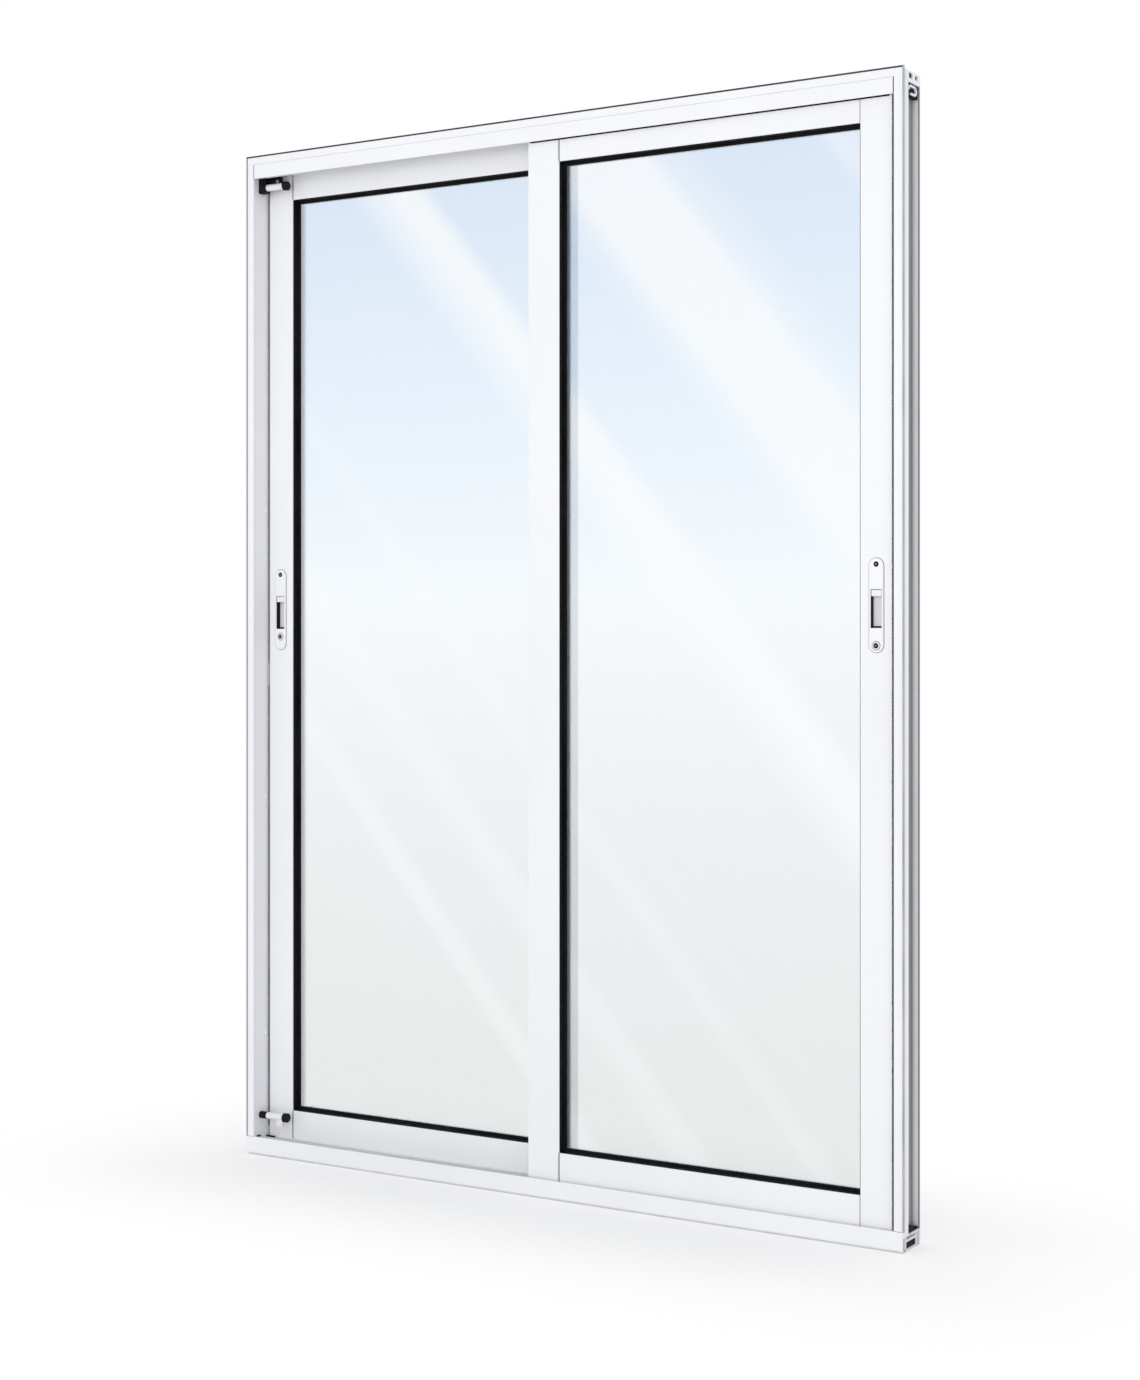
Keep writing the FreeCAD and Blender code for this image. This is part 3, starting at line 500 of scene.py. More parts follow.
def keep_piece(name: str, mesh: bpy.types.Mesh, body: Body, finish: Finish) -> None:
    """Add a finished piece to the door.

    Args:
        name: The piece's name.
        mesh: Its mesh, in the door's frame.
        body: The body that it rides on.
        finish: The finish that it takes.
    """
    mesh.name = name
    if not mesh.materials:
        mesh.materials.append(finish.material())
    piece = stand(name, mesh)
    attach(piece, body.value)
    LOG.info("%s added on %s, %d faces", name, body.value, len(mesh.polygons))


class ShapeSheet(NodeSheet):
    """A Geometry Nodes tree with named inputs, which leaves a plain mesh."""

    KINDS: ClassVar[dict[type, str]] = {
        float: "NodeSocketFloat", int: "NodeSocketInt", tuple: "NodeSocketVector"}

    def __init__(self, name: str, sizes: dict[str, Any]) -> None:
        """Start a tree; its last input is always the finish.

        Args:
            name: The tree's name.
            sizes: Names and defaults of the inputs between the geometry and the finish.
        """
        super().__init__(bpy.data.node_groups.new(name, "GeometryNodeTree"))
        face = self.tree.interface
        face.new_socket("Geometry", in_out="INPUT", socket_type="NodeSocketGeometry")
        for label, value in sizes.items():
            socket = face.new_socket(label, in_out="INPUT", socket_type=self.KINDS[type(value)])
            socket.default_value = value
        face.new_socket("Finish", in_out="INPUT", socket_type="NodeSocketMaterial")
        face.new_socket("Geometry", in_out="OUTPUT", socket_type="NodeSocketGeometry")
        self.source = self.tree.nodes.new("NodeGroupInput")
        self.result = self.tree.nodes.new("NodeGroupOutput")

    def given(self, label: str) -> Socket:
        """Return one of the tree's own inputs."""
        return self.source.outputs[label]

    def times(self, label: str, share: Any) -> Socket:
        """Return one of the tree's own inputs times a share."""
        return self.maths("MULTIPLY", self.given(label), share)

    def vector(self, x: Any, y: Any, z: Any) -> Socket:
        """Return a vector from three values."""
        return self.add("ShaderNodeCombineXYZ", {0: x, 1: y, 2: z}).outputs[0]

    def chance(self, low: Any, high: Any, later: int = 0) -> Socket:
        """Return a random vector between two vectors, drawn from "Seed" plus a number."""
        limits = {"Min": low, "Max": high, "Seed": self.maths("ADD", self.given("Seed"), float(later))}
        return self.add("FunctionNodeRandomValue", limits, data_type="FLOAT_VECTOR").outputs[0]

    def turned(self, angles: Socket) -> Socket:
        """Return Euler angles as a rotation."""
        return self.add("FunctionNodeEulerToRotation", {0: angles}).outputs[0]

    def cone(self, sides: str, top: Socket, bottom: str, depth: str) -> Socket:
        """Return a closed cone that stands on the origin.

        Args:
            sides: The input that gives its number of sides.
            top: Its upper radius.
            bottom: The input that gives its lower radius.
            depth: The input that gives its height.

        Returns:
            The cone.
        """
        values = {"Vertices": self.given(sides), "Radius Top": top, "Radius Bottom": self.given(bottom),
                  "Depth": self.given(depth)}
        return self.add("GeometryNodeMeshCone", values).outputs[0]

    def bar(self, size: Socket, height: Socket) -> Socket:
        """Return a block of a size, with its middle at a height above the origin."""
        values = {"Geometry": self.add("GeometryNodeMeshCube", {"Size": size}).outputs[0],
                  "Translation": self.vector(0.0, 0.0, height)}
        return self.add("GeometryNodeTransform", values).outputs[0]

    def set_out(self, part: Socket) -> Socket:
        """Stand a part on each given point, faced by "Turn" and spun about its own axis from "Seed".

        Args:
            part: The part, built along +Z.

        Returns:
            The instances.
        """
        values = {"Points": self.add("GeometryNodeMeshToPoints", {"Mesh": self.given("Geometry")}).outputs[0],
                  "Instance": part, "Rotation": self.turned(self.given("Turn"))}
        placed = self.add("GeometryNodeInstanceOnPoints", values).outputs[0]
        spin = {"Instances": placed, "Rotation": self.chance(ZERO, (0.0, 0.0, math.tau))}
        return self.add("GeometryNodeRotateInstances", spin).outputs[0]

    def close(self, *parts: Socket) -> None:
        """End the tree: join the parts, realize their instances and set the finish.

        Args:
            parts: The geometry to finish.
        """
        joined = self.add("GeometryNodeJoinGeometry")
        for part in parts:
            self.tree.links.new(part, joined.inputs[0])
        real = self.add("GeometryNodeRealizeInstances", {"Geometry": joined.outputs[0]}).outputs[0]
        coated = self.add("GeometryNodeSetMaterial", {"Geometry": real, "Material": self.given("Finish")})
        self.tree.links.new(coated.outputs[0], self.result.inputs[0])

    def bake(self, name: str, points: Sequence[Triple], values: dict[str, Any]) -> bpy.types.Mesh:
        """Run the tree on loose points and keep a plain mesh.

        Args:
            name: The mesh's name.
            points: The points that the tree starts from.
            values: The tree's inputs by name.

        Returns:
            The finished mesh.
        """
        base = bpy.data.meshes.new(name + "_points")
        base.from_pydata(points, [], [])
        carrier = stand(name + "_carrier", base)
        modifier = carrier.modifiers.new("build", "NODES")
        modifier.node_group = self.tree
        for item in self.tree.interface.items_tree:
            if item.item_type == "SOCKET" and item.in_out == "INPUT" and item.name in values:
                modifier[item.identifier] = values[item.name]
        graph = bpy.context.evaluated_depsgraph_get()
        mesh = bpy.data.meshes.new_from_object(carrier.evaluated_get(graph))
        carrier.modifiers.remove(modifier)
        bpy.data.objects.remove(carrier)
        bpy.data.meshes.remove(base)
        return mesh


@dataclass(frozen=True)
class ShapeKit:
    """A repeated shape in one finish, made by a tree that all kits of its kind share."""

    finish: Finish
    label: ClassVar[str]
    known: ClassVar[dict[str, ShapeSheet]] = {}

    def sizes(self) -> dict[str, Any]:
        """Return the tree's inputs: each field after the finish, such as "Head Radius" for head_radius."""
        return {size.name.replace("_", " ").title(): getattr(self, size.name) for size in fields(self)[1:]}

    def draw(self, sheet: ShapeSheet) -> None:
        """Build the tree."""
        raise NotImplementedError

    def sheet(self) -> ShapeSheet:
        """Return the kind's tree, made once.

        Returns:
            The tree.
        """
        if self.label not in self.known:
            self.known[self.label] = ShapeSheet(self.label, self.sizes())
            self.draw(self.known[self.label])
        return self.known[self.label]

    def add(self, name: str, points: Sequence[Triple], body: Body, place: Matrix = AS_BUILT) -> None:
        """Make the shapes as one piece of the door.

        Args:
            name: The piece's name.
            points: Where the shapes stand.
            body: The body that the piece rides on.
            place: The matrix that carries the finished mesh to its seat.
        """
        mesh = self.sheet().bake(name, points, {**self.sizes(), "Finish": self.finish.material()})
        mesh.transform(place)
        keep_piece(name, mesh, body, self.finish)


@dataclass(frozen=True)
class ScrewKit(ShapeKit):
    """Cross-recessed screw heads that face the front, set on points."""

    label: ClassVar[str] = "screw_heads"
    head_radius: float = 3.0 * MM
    head_height: float = 1.3 * MM
    head_sides: int = 32
    shoulder_share: float = 0.72
    recess_width: float = 0.9 * MM
    recess_depth: float = 0.6 * MM
    recess_share: float = 1.15
    turn: Triple = FRONT_TURN
    seed: int = 7

    def draw(self, sheet: ShapeSheet) -> None:
        """Build the tree: a coned head with a cross cut in it at each point.

        Args:
            sheet: The tree to build in.
        """
        shoulder = sheet.times("Head Radius", sheet.given("Shoulder Share"))
        head = sheet.cone("Head Sides", shoulder, "Head Radius", "Head Height")
        cut = sheet.add("GeometryNodeMeshBoolean", {"Mesh 1": head, "Self Intersection": True},
                        operation="DIFFERENCE", solver="EXACT")
        arm = sheet.times("Head Radius", sheet.given("Recess Share"))
        wide = sheet.given("Recess Width")
        deep = sheet.times("Recess Depth", 2.0)
        for size in (sheet.vector(arm, wide, deep), sheet.vector(wide, arm, deep)):
            sheet.tree.links.new(sheet.bar(size, sheet.given("Head Height")), cut.inputs["Mesh 2"])
        sheet.close(sheet.set_out(cut.outputs[0]))


@dataclass(frozen=True)
class CollarKit(ShapeKit):
    """Low coned collars that screws sit on, facing the front, set on points."""

    label: ClassVar[str] = "screw_collars"
    radius: float = 4.9 * MM
    height: float = 0.5 * MM
    sides: int = 40
    rim_share: float = 0.93
    turn: Triple = FRONT_TURN
    seed: int = 3

    def draw(self, sheet: ShapeSheet) -> None:
        """Build the tree: a low coned disc at each point."""
        rim = sheet.times("Radius", sheet.given("Rim Share"))
        sheet.close(sheet.set_out(sheet.cone("Sides", rim, "Radius", "Height")))


@dataclass(frozen=True)
class PileKit(ShapeKit):
    """Weather pile: rows of leaning fibre tufts on a thin backing, built along X and standing up in Z."""

    label: ClassVar[str] = "weather_pile"
    length: float = 1.0
    pitch: float = 2.4 * MM
    rows: int = 3
    row_gap: float = 1.5 * MM
    backing_width: float = 5.2 * MM
    backing_height: float = 0.8 * MM
    tuft_height: float = 4.4 * MM
    tuft_radius: float = 0.9 * MM
    tuft_sides: int = 5
    tip_share: float = 0.55
    jitter_share: float = 0.5
    lean: float = 0.12
    least_growth: Triple = (0.85, 0.85, 0.8)
    most_growth: Triple = (1.1, 1.1, 1.0)
    seed: int = 11

    def draw(self, sheet: ShapeSheet) -> None:
        """Build the tree: a grid of points with a jittered, leaning tuft on each, and the backing under them.

        Args:
            sheet: The tree to build in.
        """
        length = sheet.given("Length")
        rows = sheet.given("Rows")
        count = sheet.maths("FLOOR", sheet.maths("DIVIDE", length, sheet.given("Pitch")))
        across = sheet.times("Row Gap", sheet.maths("SUBTRACT", rows, 1.0))
        grid = sheet.add("GeometryNodeMeshGrid", {"Size X": length, "Size Y": across, "Vertices X": count,
                                                  "Vertices Y": rows})
        spots = sheet.add("GeometryNodeMeshToPoints", {"Mesh": grid.outputs[0]})
        shift = sheet.times("Tuft Radius", sheet.given("Jitter Share"))
        back = sheet.maths("MULTIPLY", shift, -1.0)
        jitter = sheet.chance(sheet.vector(back, back, 0.0), sheet.vector(shift, shift, 0.0))
        moved = sheet.add("GeometryNodeSetPosition", {"Geometry": spots.outputs[0], "Offset": jitter})
        tip = sheet.times("Tuft Radius", sheet.given("Tip Share"))
        lean = sheet.given("Lean")
        lean_back = sheet.times("Lean", -1.0)
        tilt = sheet.chance(sheet.vector(lean_back, lean_back, -math.pi), sheet.vector(lean, lean, math.pi),
                            later=1)
        values = {"Points": moved.outputs[0], "Rotation": sheet.turned(tilt),
                  "Instance": sheet.cone("Tuft Sides", tip, "Tuft Radius", "Tuft Height"),
                  "Scale": sheet.chance(sheet.given("Least Growth"), sheet.given("Most Growth"), later=2)}
        tufts = sheet.add("GeometryNodeInstanceOnPoints", values).outputs[0]
        backing = sheet.vector(length, sheet.given("Backing Width"), sheet.given("Backing Height"))
        sheet.close(tufts, sheet.bar(backing, sheet.times("Backing Height", 0.5)))

    def lay(self, name: str, body: Body, length: float, centre: Triple, along: Triple, up: Triple) -> None:
        """Lay one strip on a body.

        Args:
            name: The strip's name.
            body: The body that it rides on.
            length: Its length.
            centre: Where the middle of its underside goes.
            along: The direction of its length.
            up: The direction in which its tufts stand.
        """
        x_axis = Vector(along)
        z_axis = Vector(up)
        turn = Matrix((x_axis, z_axis.cross(x_axis), z_axis)).transposed().to_4x4()
        replace(self, length=length).add(name, (ZERO,), body, Matrix.Translation(Vector(centre)) @ turn)


def finished_mesh(name: str, shape: bmesh.types.BMesh) -> bpy.types.Mesh:
    """Turn an edited shape into a mesh and free it.

    Args:
        name: The mesh's name.
        shape: The shape.

    Returns:
        The mesh.
    """
    mesh = bpy.data.meshes.new(name)
    shape.to_mesh(mesh)
    shape.free()
    return mesh


def add_blocks(name: str, blocks: Sequence[Block], rounding: float, body: Body, finish: Finish,
               segments: int = 3) -> None:
    """Add one piece made of blocks with rounded edges.

    Args:
        name: The piece's name.
        blocks: The lowest and highest corner of each block.
        rounding: The rounding of their edges.
        body: The body that the piece rides on.
        finish: The finish that it takes.
        segments: Segments in each rounding.
    """
    shape = bmesh.new()
    for low, high in blocks:
        middle = (Vector(low) + Vector(high)) / 2
        size = Vector(high) - Vector(low)
        place = Matrix.Translation(middle) @ Matrix.Diagonal((*size, 1.0))
        bmesh.ops.create_cube(shape, size=1.0, matrix=place)
    bmesh.ops.bevel(shape, geom=shape.edges[:], offset=rounding, segments=segments, profile=0.5,
                    affect="EDGES")
    keep_piece(name, finished_mesh(name, shape), body, finish)


def mirrored(block: Block) -> list[Block]:
    """Return a block and its mirror images across the door's two upright middle planes.

    Args:
        block: The block's lowest and highest corner.

    Returns:
        The block, its image at the other side, and both again at the back.
    """
    (left, near, bottom), (right, far, top) = block
    return [((start, front, bottom), (end, back, top))
            for front, back in ((near, far), (-far, -near))
            for start, end in ((left, right), (-right, -left))]


def stadium_ring(name: str, low: Triple, high: Triple, grow: Pair, steps: int = 20) -> bpy.types.Mesh:
    """Return a flat ring along an upright stadium, as thick as the given box.

    Args:
        name: The mesh's name.
        low: The lowest corner of the box that the stadium fills.
        high: The highest corner of that box.
        grow: How far the ring's inner and outer outlines lie outside the stadium.
        steps: Segments in each round end.

    Returns:
        The mesh.
    """
    half = (high[0] - low[0]) / 2
    middle = (high[0] + low[0]) / 2
    shape = bmesh.new()
    loops = []
    for offset, y in ((grow[0], low[1]), (grow[1], low[1]), (grow[1], high[1]), (grow[0], high[1])):
        reach = half + offset
        loop = []
        for centre, start in ((high[2] - half, 0.0), (low[2] + half, math.pi)):
            for step in range(steps + 1):
                angle = start + math.pi * step / steps
                spot = (middle + reach * math.cos(angle), y, centre + reach * math.sin(angle))
                loop.append(shape.verts.new(spot))
        loops.append(loop)
    for first, second in zip(loops, loops[1:] + loops[:1]):
        for index in range(len(first)):
            shape.faces.new((first[index - 1], first[index], second[index], second[index - 1]))
    bmesh.ops.recalc_face_normals(shape, faces=shape.faces)
    return finished_mesh(name, shape)


@dataclass
class OuterFrame:
    """The fixed frame: sill, head, jambs, tracks and seals, with weather pile, joint beads and sill pads."""

    pile: PileKit
    pile_end_gap: float = 6.0 * MM
    lip_wall: float = 2.0 * MM
    sill_pile_height: float = 33.0 * MM
    jamb_pile_depth: float = 3.8 * MM
    jamb_pile_heights: Pair = (40.0 * MM, 2042.0 * MM)
    bead_inset: float = 0.1 * MM
    bead_depth: float = 1.7 * MM
    bead_rounding: float = 0.05 * MM
    foot_gap: float = 0.6 * MM
    pad_length: float = 21.0 * MM
    pad_depths: Pair = (1.0 * MM, 5.0 * MM)
    pad_heights: Pair = (28.1 * MM, 33.4 * MM)
    strip_reach: float = 3.0 * MM
    strip_depths: Pair = (-31.0 * MM, -20.0 * MM)
    strip_heights: Pair = (36.3 * MM, 38.5 * MM)
    pad_rounding: float = 0.4 * MM

    def dress(self) -> None:
        """Give the frame's nodes their finishes."""
        coat(COATED, "head", "head_front_fascia", "head_rear_fascia", "head_corner_rings")
        coat(COATED_SILL, "sill", "sill_front_cover", "sill_rear_cover")
        coat(COATED_JAMB, "left_jamb", "right_jamb")
        # the corner blocks and end plugs are real keys and plugs, black so that they also paint the shade in
        # the jamb channels' ends and the head's hollow chambers
        coat(BLACK_NYLON, "corner_blocks", "end_plugs")
        coat(RAIL_METAL, "front_roller_rail", "back_roller_rail", "front_guide_rail", "back_guide_rail")
        # the same foam in two tones: the dark seal paints a dark line along the left and top edges, and the
        # pale seal leaves the right edge light
        coat(SEAL, "left_jamb_seal", "head_seal")
        coat(PALE_SEAL, "right_jamb_seal")
        coat(LATCH_PAINT, "strike_plates")

    def build(self) -> None:
        """Add the pile behind the sill's lips and in the jambs, the joint beads and the pads on the sill."""
        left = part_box("left_jamb")
        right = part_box("right_jamb")
        length = 2 * (right[0][0] - self.pile_end_gap)
        for node, inward in (("sill_front_cover", 1.0), ("sill_rear_cover", -1.0)):
            low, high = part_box(node)
            face = low[1] + self.lip_wall if inward > 0 else high[1] - self.lip_wall
            centre = (0.0, face, self.sill_pile_height)
            self.pile.lay(node + "_pile", Body.FRAME, length, centre, ALONG, (0.0, inward, 0.0))
        bottom, top = self.jamb_pile_heights
        for name, edge, depth, inward in (
                ("right_jamb_pile", right[0][0], right[0][1] + self.jamb_pile_depth, -1.0),
                ("left_jamb_pile", left[1][0], left[1][1] - self.jamb_pile_depth, 1.0)):
            centre = (edge, depth, (bottom + top) / 2)
            self.pile.lay(name, Body.FRAME, top - bottom, centre, UPRIGHT, (inward, 0.0, 0.0))
        # painted shade: the dark beads darken the fascia's and the jambs' shadow gaps, and the dark pads the
        # jambs' feet
        for name, blocks, rounding, finish in (
                ("fascia_end_beads", mirrored(self.fascia_bead()), self.bead_rounding, BEAD),
                ("jamb_foot_beads", mirrored(self.foot_bead()), self.bead_rounding, BEAD),
                ("sill_end_pads", self.end_pads(), self.pad_rounding, BUFFER)):
            add_blocks(name, blocks, rounding, Body.FRAME, finish)

    def fascia_bead(self) -> Block:
        """Return the dark bead that fills the gap between the front fascia's right end and the jamb and
        paints the gap's shade line.

        Returns:
            The bead's block.
        """
        low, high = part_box("head_front_fascia")
        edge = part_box("right_jamb")[0][0]
        return ((high[0] + self.bead_inset, low[1] + self.bead_inset / 2, low[2] + self.bead_inset),
                (edge - self.bead_inset, low[1] + self.bead_depth, high[2] - self.bead_inset))

    def foot_bead(self) -> Block:
        """Return the dark bead between the right jamb's foot and the sill's front lip, which paints the gap's
        shade line.

        Returns:
            The bead's block.
        """
        low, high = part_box("right_jamb")
        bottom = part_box("sill_front_cover")[1][2] + self.bead_rounding
        top = bottom + self.foot_gap - 2 * self.bead_rounding
        return ((low[0] + self.bead_inset, low[1] + self.bead_inset, bottom),
                (high[0] - self.bead_inset, low[1] + self.bead_depth, top))

    def end_pads(self) -> list[Block]:
        """Return the dark pads at the jambs' feet, which paint the shade there: one beside each panel and a
        strip on each jamb.

        Returns:
            The blocks of the pads.
        """
        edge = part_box("right_jamb")[0][0] - self.bead_inset
        blocks = []
        for reach, (near, far), (bottom, top) in (
                (self.pad_length, self.pad_depths, self.pad_heights),
                (self.strip_reach, self.strip_depths, self.strip_heights)):
            blocks += [((-edge, near, bottom), (reach - edge, far, top)),
                       ((edge - reach, -far, bottom), (edge, -near, top))]
        return blocks


@dataclass
class GlazedPanel:
    """One sliding panel: its sections, glass, gasket and rollers, with weather pile and joint beads."""

    body: Body
    side: int
    pile: PileKit
    foot_pile: PileKit
    outer_bead: Finish
    edge_pile_depth: float = 3.6 * MM
    edge_pile_gap: float = 20.0 * MM
    head_pile_height: float = 2046.0 * MM
    foot_pile_depth: float = 1.7 * MM
    row_end_gap: float = 6.0 * MM
    groove_width: float = 1.2 * MM
    bead_inset: float = 0.1 * MM
    bead_depth: float = 1.1 * MM
    bead_spread: float = 0.45 * MM
    bead_proud: float = 0.15 * MM
    bead_rounding: float = 0.06 * MM

    def node(self, part: str) -> str:
        """Return the full name of one of the panel's nodes or pieces."""
        return self.body.value + "_" + part

    def dress(self) -> None:
        """Give the panel's nodes their finishes."""
        for part in ("outer_stile", "meeting_stile", "interlock", "top_rail", "bottom_rail"):
            coat(COATED, self.node(part))
        coat(GLAZING, self.node("glass"))
        coat(GASKET, self.node("gasket"))
        coat(WHEEL_STEEL, self.node("rollers"))
        coat(GREY_NYLON, self.node("roller_carriages"), self.node("top_guides"))

    def build(self) -> None:
        """Add the pile at the jamb edge, the head and the foot, and the beads in the joint lines."""
        low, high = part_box(self.node("outer_stile"))
        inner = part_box(self.node("meeting_stile"))
        outward = float(self.side)
        edge, free_face = (high[0], low[1]) if self.side > 0 else (low[0], high[1])
        tall = high[2] - low[2] - 2 * self.edge_pile_gap
        start = min(low[0], inner[0][0]) + self.row_end_gap
        end = max(high[0], inner[1][0]) - self.row_end_gap
        wide = end - start
        middle = (start + end) / 2
        beside = (edge, low[1] + self.edge_pile_depth, (low[2] + high[2]) / 2)
        above = (middle, free_face, self.head_pile_height)
        under = (middle, low[1] + self.foot_pile_depth, low[2])
        for part, pile, length, centre, along, up in (
                ("edge_pile", self.pile, tall, beside, UPRIGHT, (outward, 0.0, 0.0)),
                ("head_pile", self.pile, wide, above, ALONG, (0.0, -outward, 0.0)),
                ("foot_pile", self.foot_pile, wide, under, ALONG, (0.0, 0.0, -1.0))):
            pile.lay(self.node(part), self.body, length, centre, along, up)
        # painted shade: the dark sealant beads darken the joint grooves; the right panel's outer joint takes
        # the pale sealant
        for part, outer, finish in (("outer_joint_beads", True, self.outer_bead),
                                    ("inner_joint_beads", False, BEAD)):
            add_blocks(self.node(part), self.beads(outer), self.bead_rounding, self.body, finish)

    def beads(self, outer: bool) -> list[Block]:
        """Return the sealant beads over and in the joint lines at one end of both rails.

        Args:
            outer: Whether the end is the one at the jamb.

        Returns:
            The blocks of the beads.
        """
        blocks = []
        for part in ("top_rail", "bottom_rail"):
            low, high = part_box(self.node(part))
            face = low[1]
            at_high = outer == (self.side > 0)
            start = high[0] - self.groove_width if at_high else low[0]
            end = start + self.groove_width
            bottom = low[2] + self.bead_inset
            top = high[2] - self.bead_inset
            blocks += [((start + self.bead_inset, face, bottom),
                        (end - self.bead_inset, face + self.bead_depth, top)),
                       ((start - self.bead_spread, face - self.bead_proud, bottom),
                        (end + self.bead_spread, face, top))]
        return blocks


@dataclass
class FlushLatch:
    """A flush latch: plate, finger cup and thumb slide, with screws and collars, a dark base gasket that
    paints the plate's shadow outline, and black strips that paint the shade in the cup.
    """

    panel: GlazedPanel
    screw_heights: Pair
    screws: ScrewKit = ScrewKit(SCREW_STEEL, head_radius=2.1 * MM, recess_width=0.7 * MM)
    collars: CollarKit = CollarKit(BLACK_NYLON)
    # painted shade: the black rim round the raised boss stands for the shade at the boss's edge
    boss_rim: CollarKit = CollarKit(BLACK_NYLON, radius=8.2 * MM, height=0.4 * MM)
    boss: CollarKit = CollarKit(LATCH_PAINT, radius=7.4 * MM, height=1.3 * MM)
    plate_proud: float = 2.0 * MM
    gasket_thickness: float = 0.6 * MM
    gasket_grow: Pair = (-0.4 * MM, 0.7 * MM)
    window_half: float = 10.7 * MM
    window_heights: Pair = (1102.0 * MM, 1171.0 * MM)
    cup_wall: float = 1.2 * MM
    liner: float = 0.28 * MM
    shade_strip_recess: float = 0.9 * MM
    shade_slot_heights: Pair = (1102.4 * MM, 1105.6 * MM)
    shade_strip_rounding: float = 0.06 * MM

    def dress(self) -> None:
        """Give the plate and the thumb slide their paint."""
        coat(LATCH_PAINT, self.panel.node("latch_plate"), self.panel.node("latch_thumb"))

    def build(self) -> None:
        """Add the screws on their collars, the gasket under the plate and the black strips that paint the
        cup's shade.
        """
        body = self.panel.body
        low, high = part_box(self.panel.node("latch_plate"))
        middle = (low[0] + high[0]) / 2
        upper, lower = self.screw_heights
        foot = [(middle, low[1], lower)]
        seats = [(middle, low[1], upper), (middle, low[1] - self.boss.height, lower)]
        for part, kit, points in (("latch_boss_rim", self.boss_rim, foot), ("latch_boss", self.boss, foot),
                                  ("latch_collars", self.collars, seats),
                                  ("latch_screws", self.screws, seats)):
            kit.add(self.panel.node(part), points, body)
        # the base gasket is dark so that it also paints the plate's shadow outline
        face = low[1] + self.plate_proud
        name = self.panel.node("latch_gasket")
        ring = stadium_ring(name, (low[0], face - self.gasket_thickness, low[2]), (high[0], face, high[2]),
                            self.gasket_grow)
        keep_piece(name, ring, body, SEAL)
        # painted shade: black strips line the cup's walls and top, and a black slot lies at its foot, where
        # the cup is shaded
        strips = self.painted_shade_strips(middle, low[1], high[1] - self.cup_wall)
        add_blocks(self.panel.node("cup_shade_strips"), strips, self.shade_strip_rounding, body, BLACK_NYLON)

    def painted_shade_strips(self, middle: float, front: float, floor: float) -> list[Block]:
        """Return the strips of painted shade: both sides, the top and the slot at the foot of the cup.

        Args:
            middle: The latch's middle in X.
            front: The plate's front in Y.
            floor: The cup's floor in Y.

        Returns:
            The strips.
        """
        near = front + self.shade_strip_recess
        left = middle - self.window_half
        right = middle + self.window_half
        bottom, top = self.window_heights
        return [((left, near, bottom), (left + self.liner, floor, top)),
                ((right - self.liner, near, bottom), (right, floor, top)),
                ((left, near, top - self.liner), (right, floor, top)),
                ((left, floor - self.liner, self.shade_slot_heights[0]), (right, floor, self.shade_slot_heights[1]))]


@dataclass
class TravelStops:
    """The stops on the jambs: feet, barrels and tips, with the screws of the upper feet."""

    screws: ScrewKit = ScrewKit(SCREW_STEEL, head_radius=4.2 * MM, recess_width=1.2 * MM)
    screw_inset: float = 40.0 * MM
    screw_height: float = 2040.5 * MM
    screw_depths: Pair = (29.5 * MM, 49.5 * MM)

    def dress(self) -> None:
        """Give the stops their finishes."""
        coat(BLACK_NYLON, "stop_feet")
        coat(WHITE_NYLON, "stop_barrels")
        coat(BUFFER, "stop_tips")

    def build(self) -> None:
        """Add the screws of the upper feet."""
        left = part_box("left_jamb")
        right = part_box("right_jamb")
        front = left[0][1]
        points = [(left[1][0] + self.screw_inset, front + self.screw_depths[0], self.screw_height),
                  (right[0][0] - self.screw_inset, front + self.screw_depths[1], self.screw_height)]
        self.screws.add("stop_screws", points, Body.FRAME)


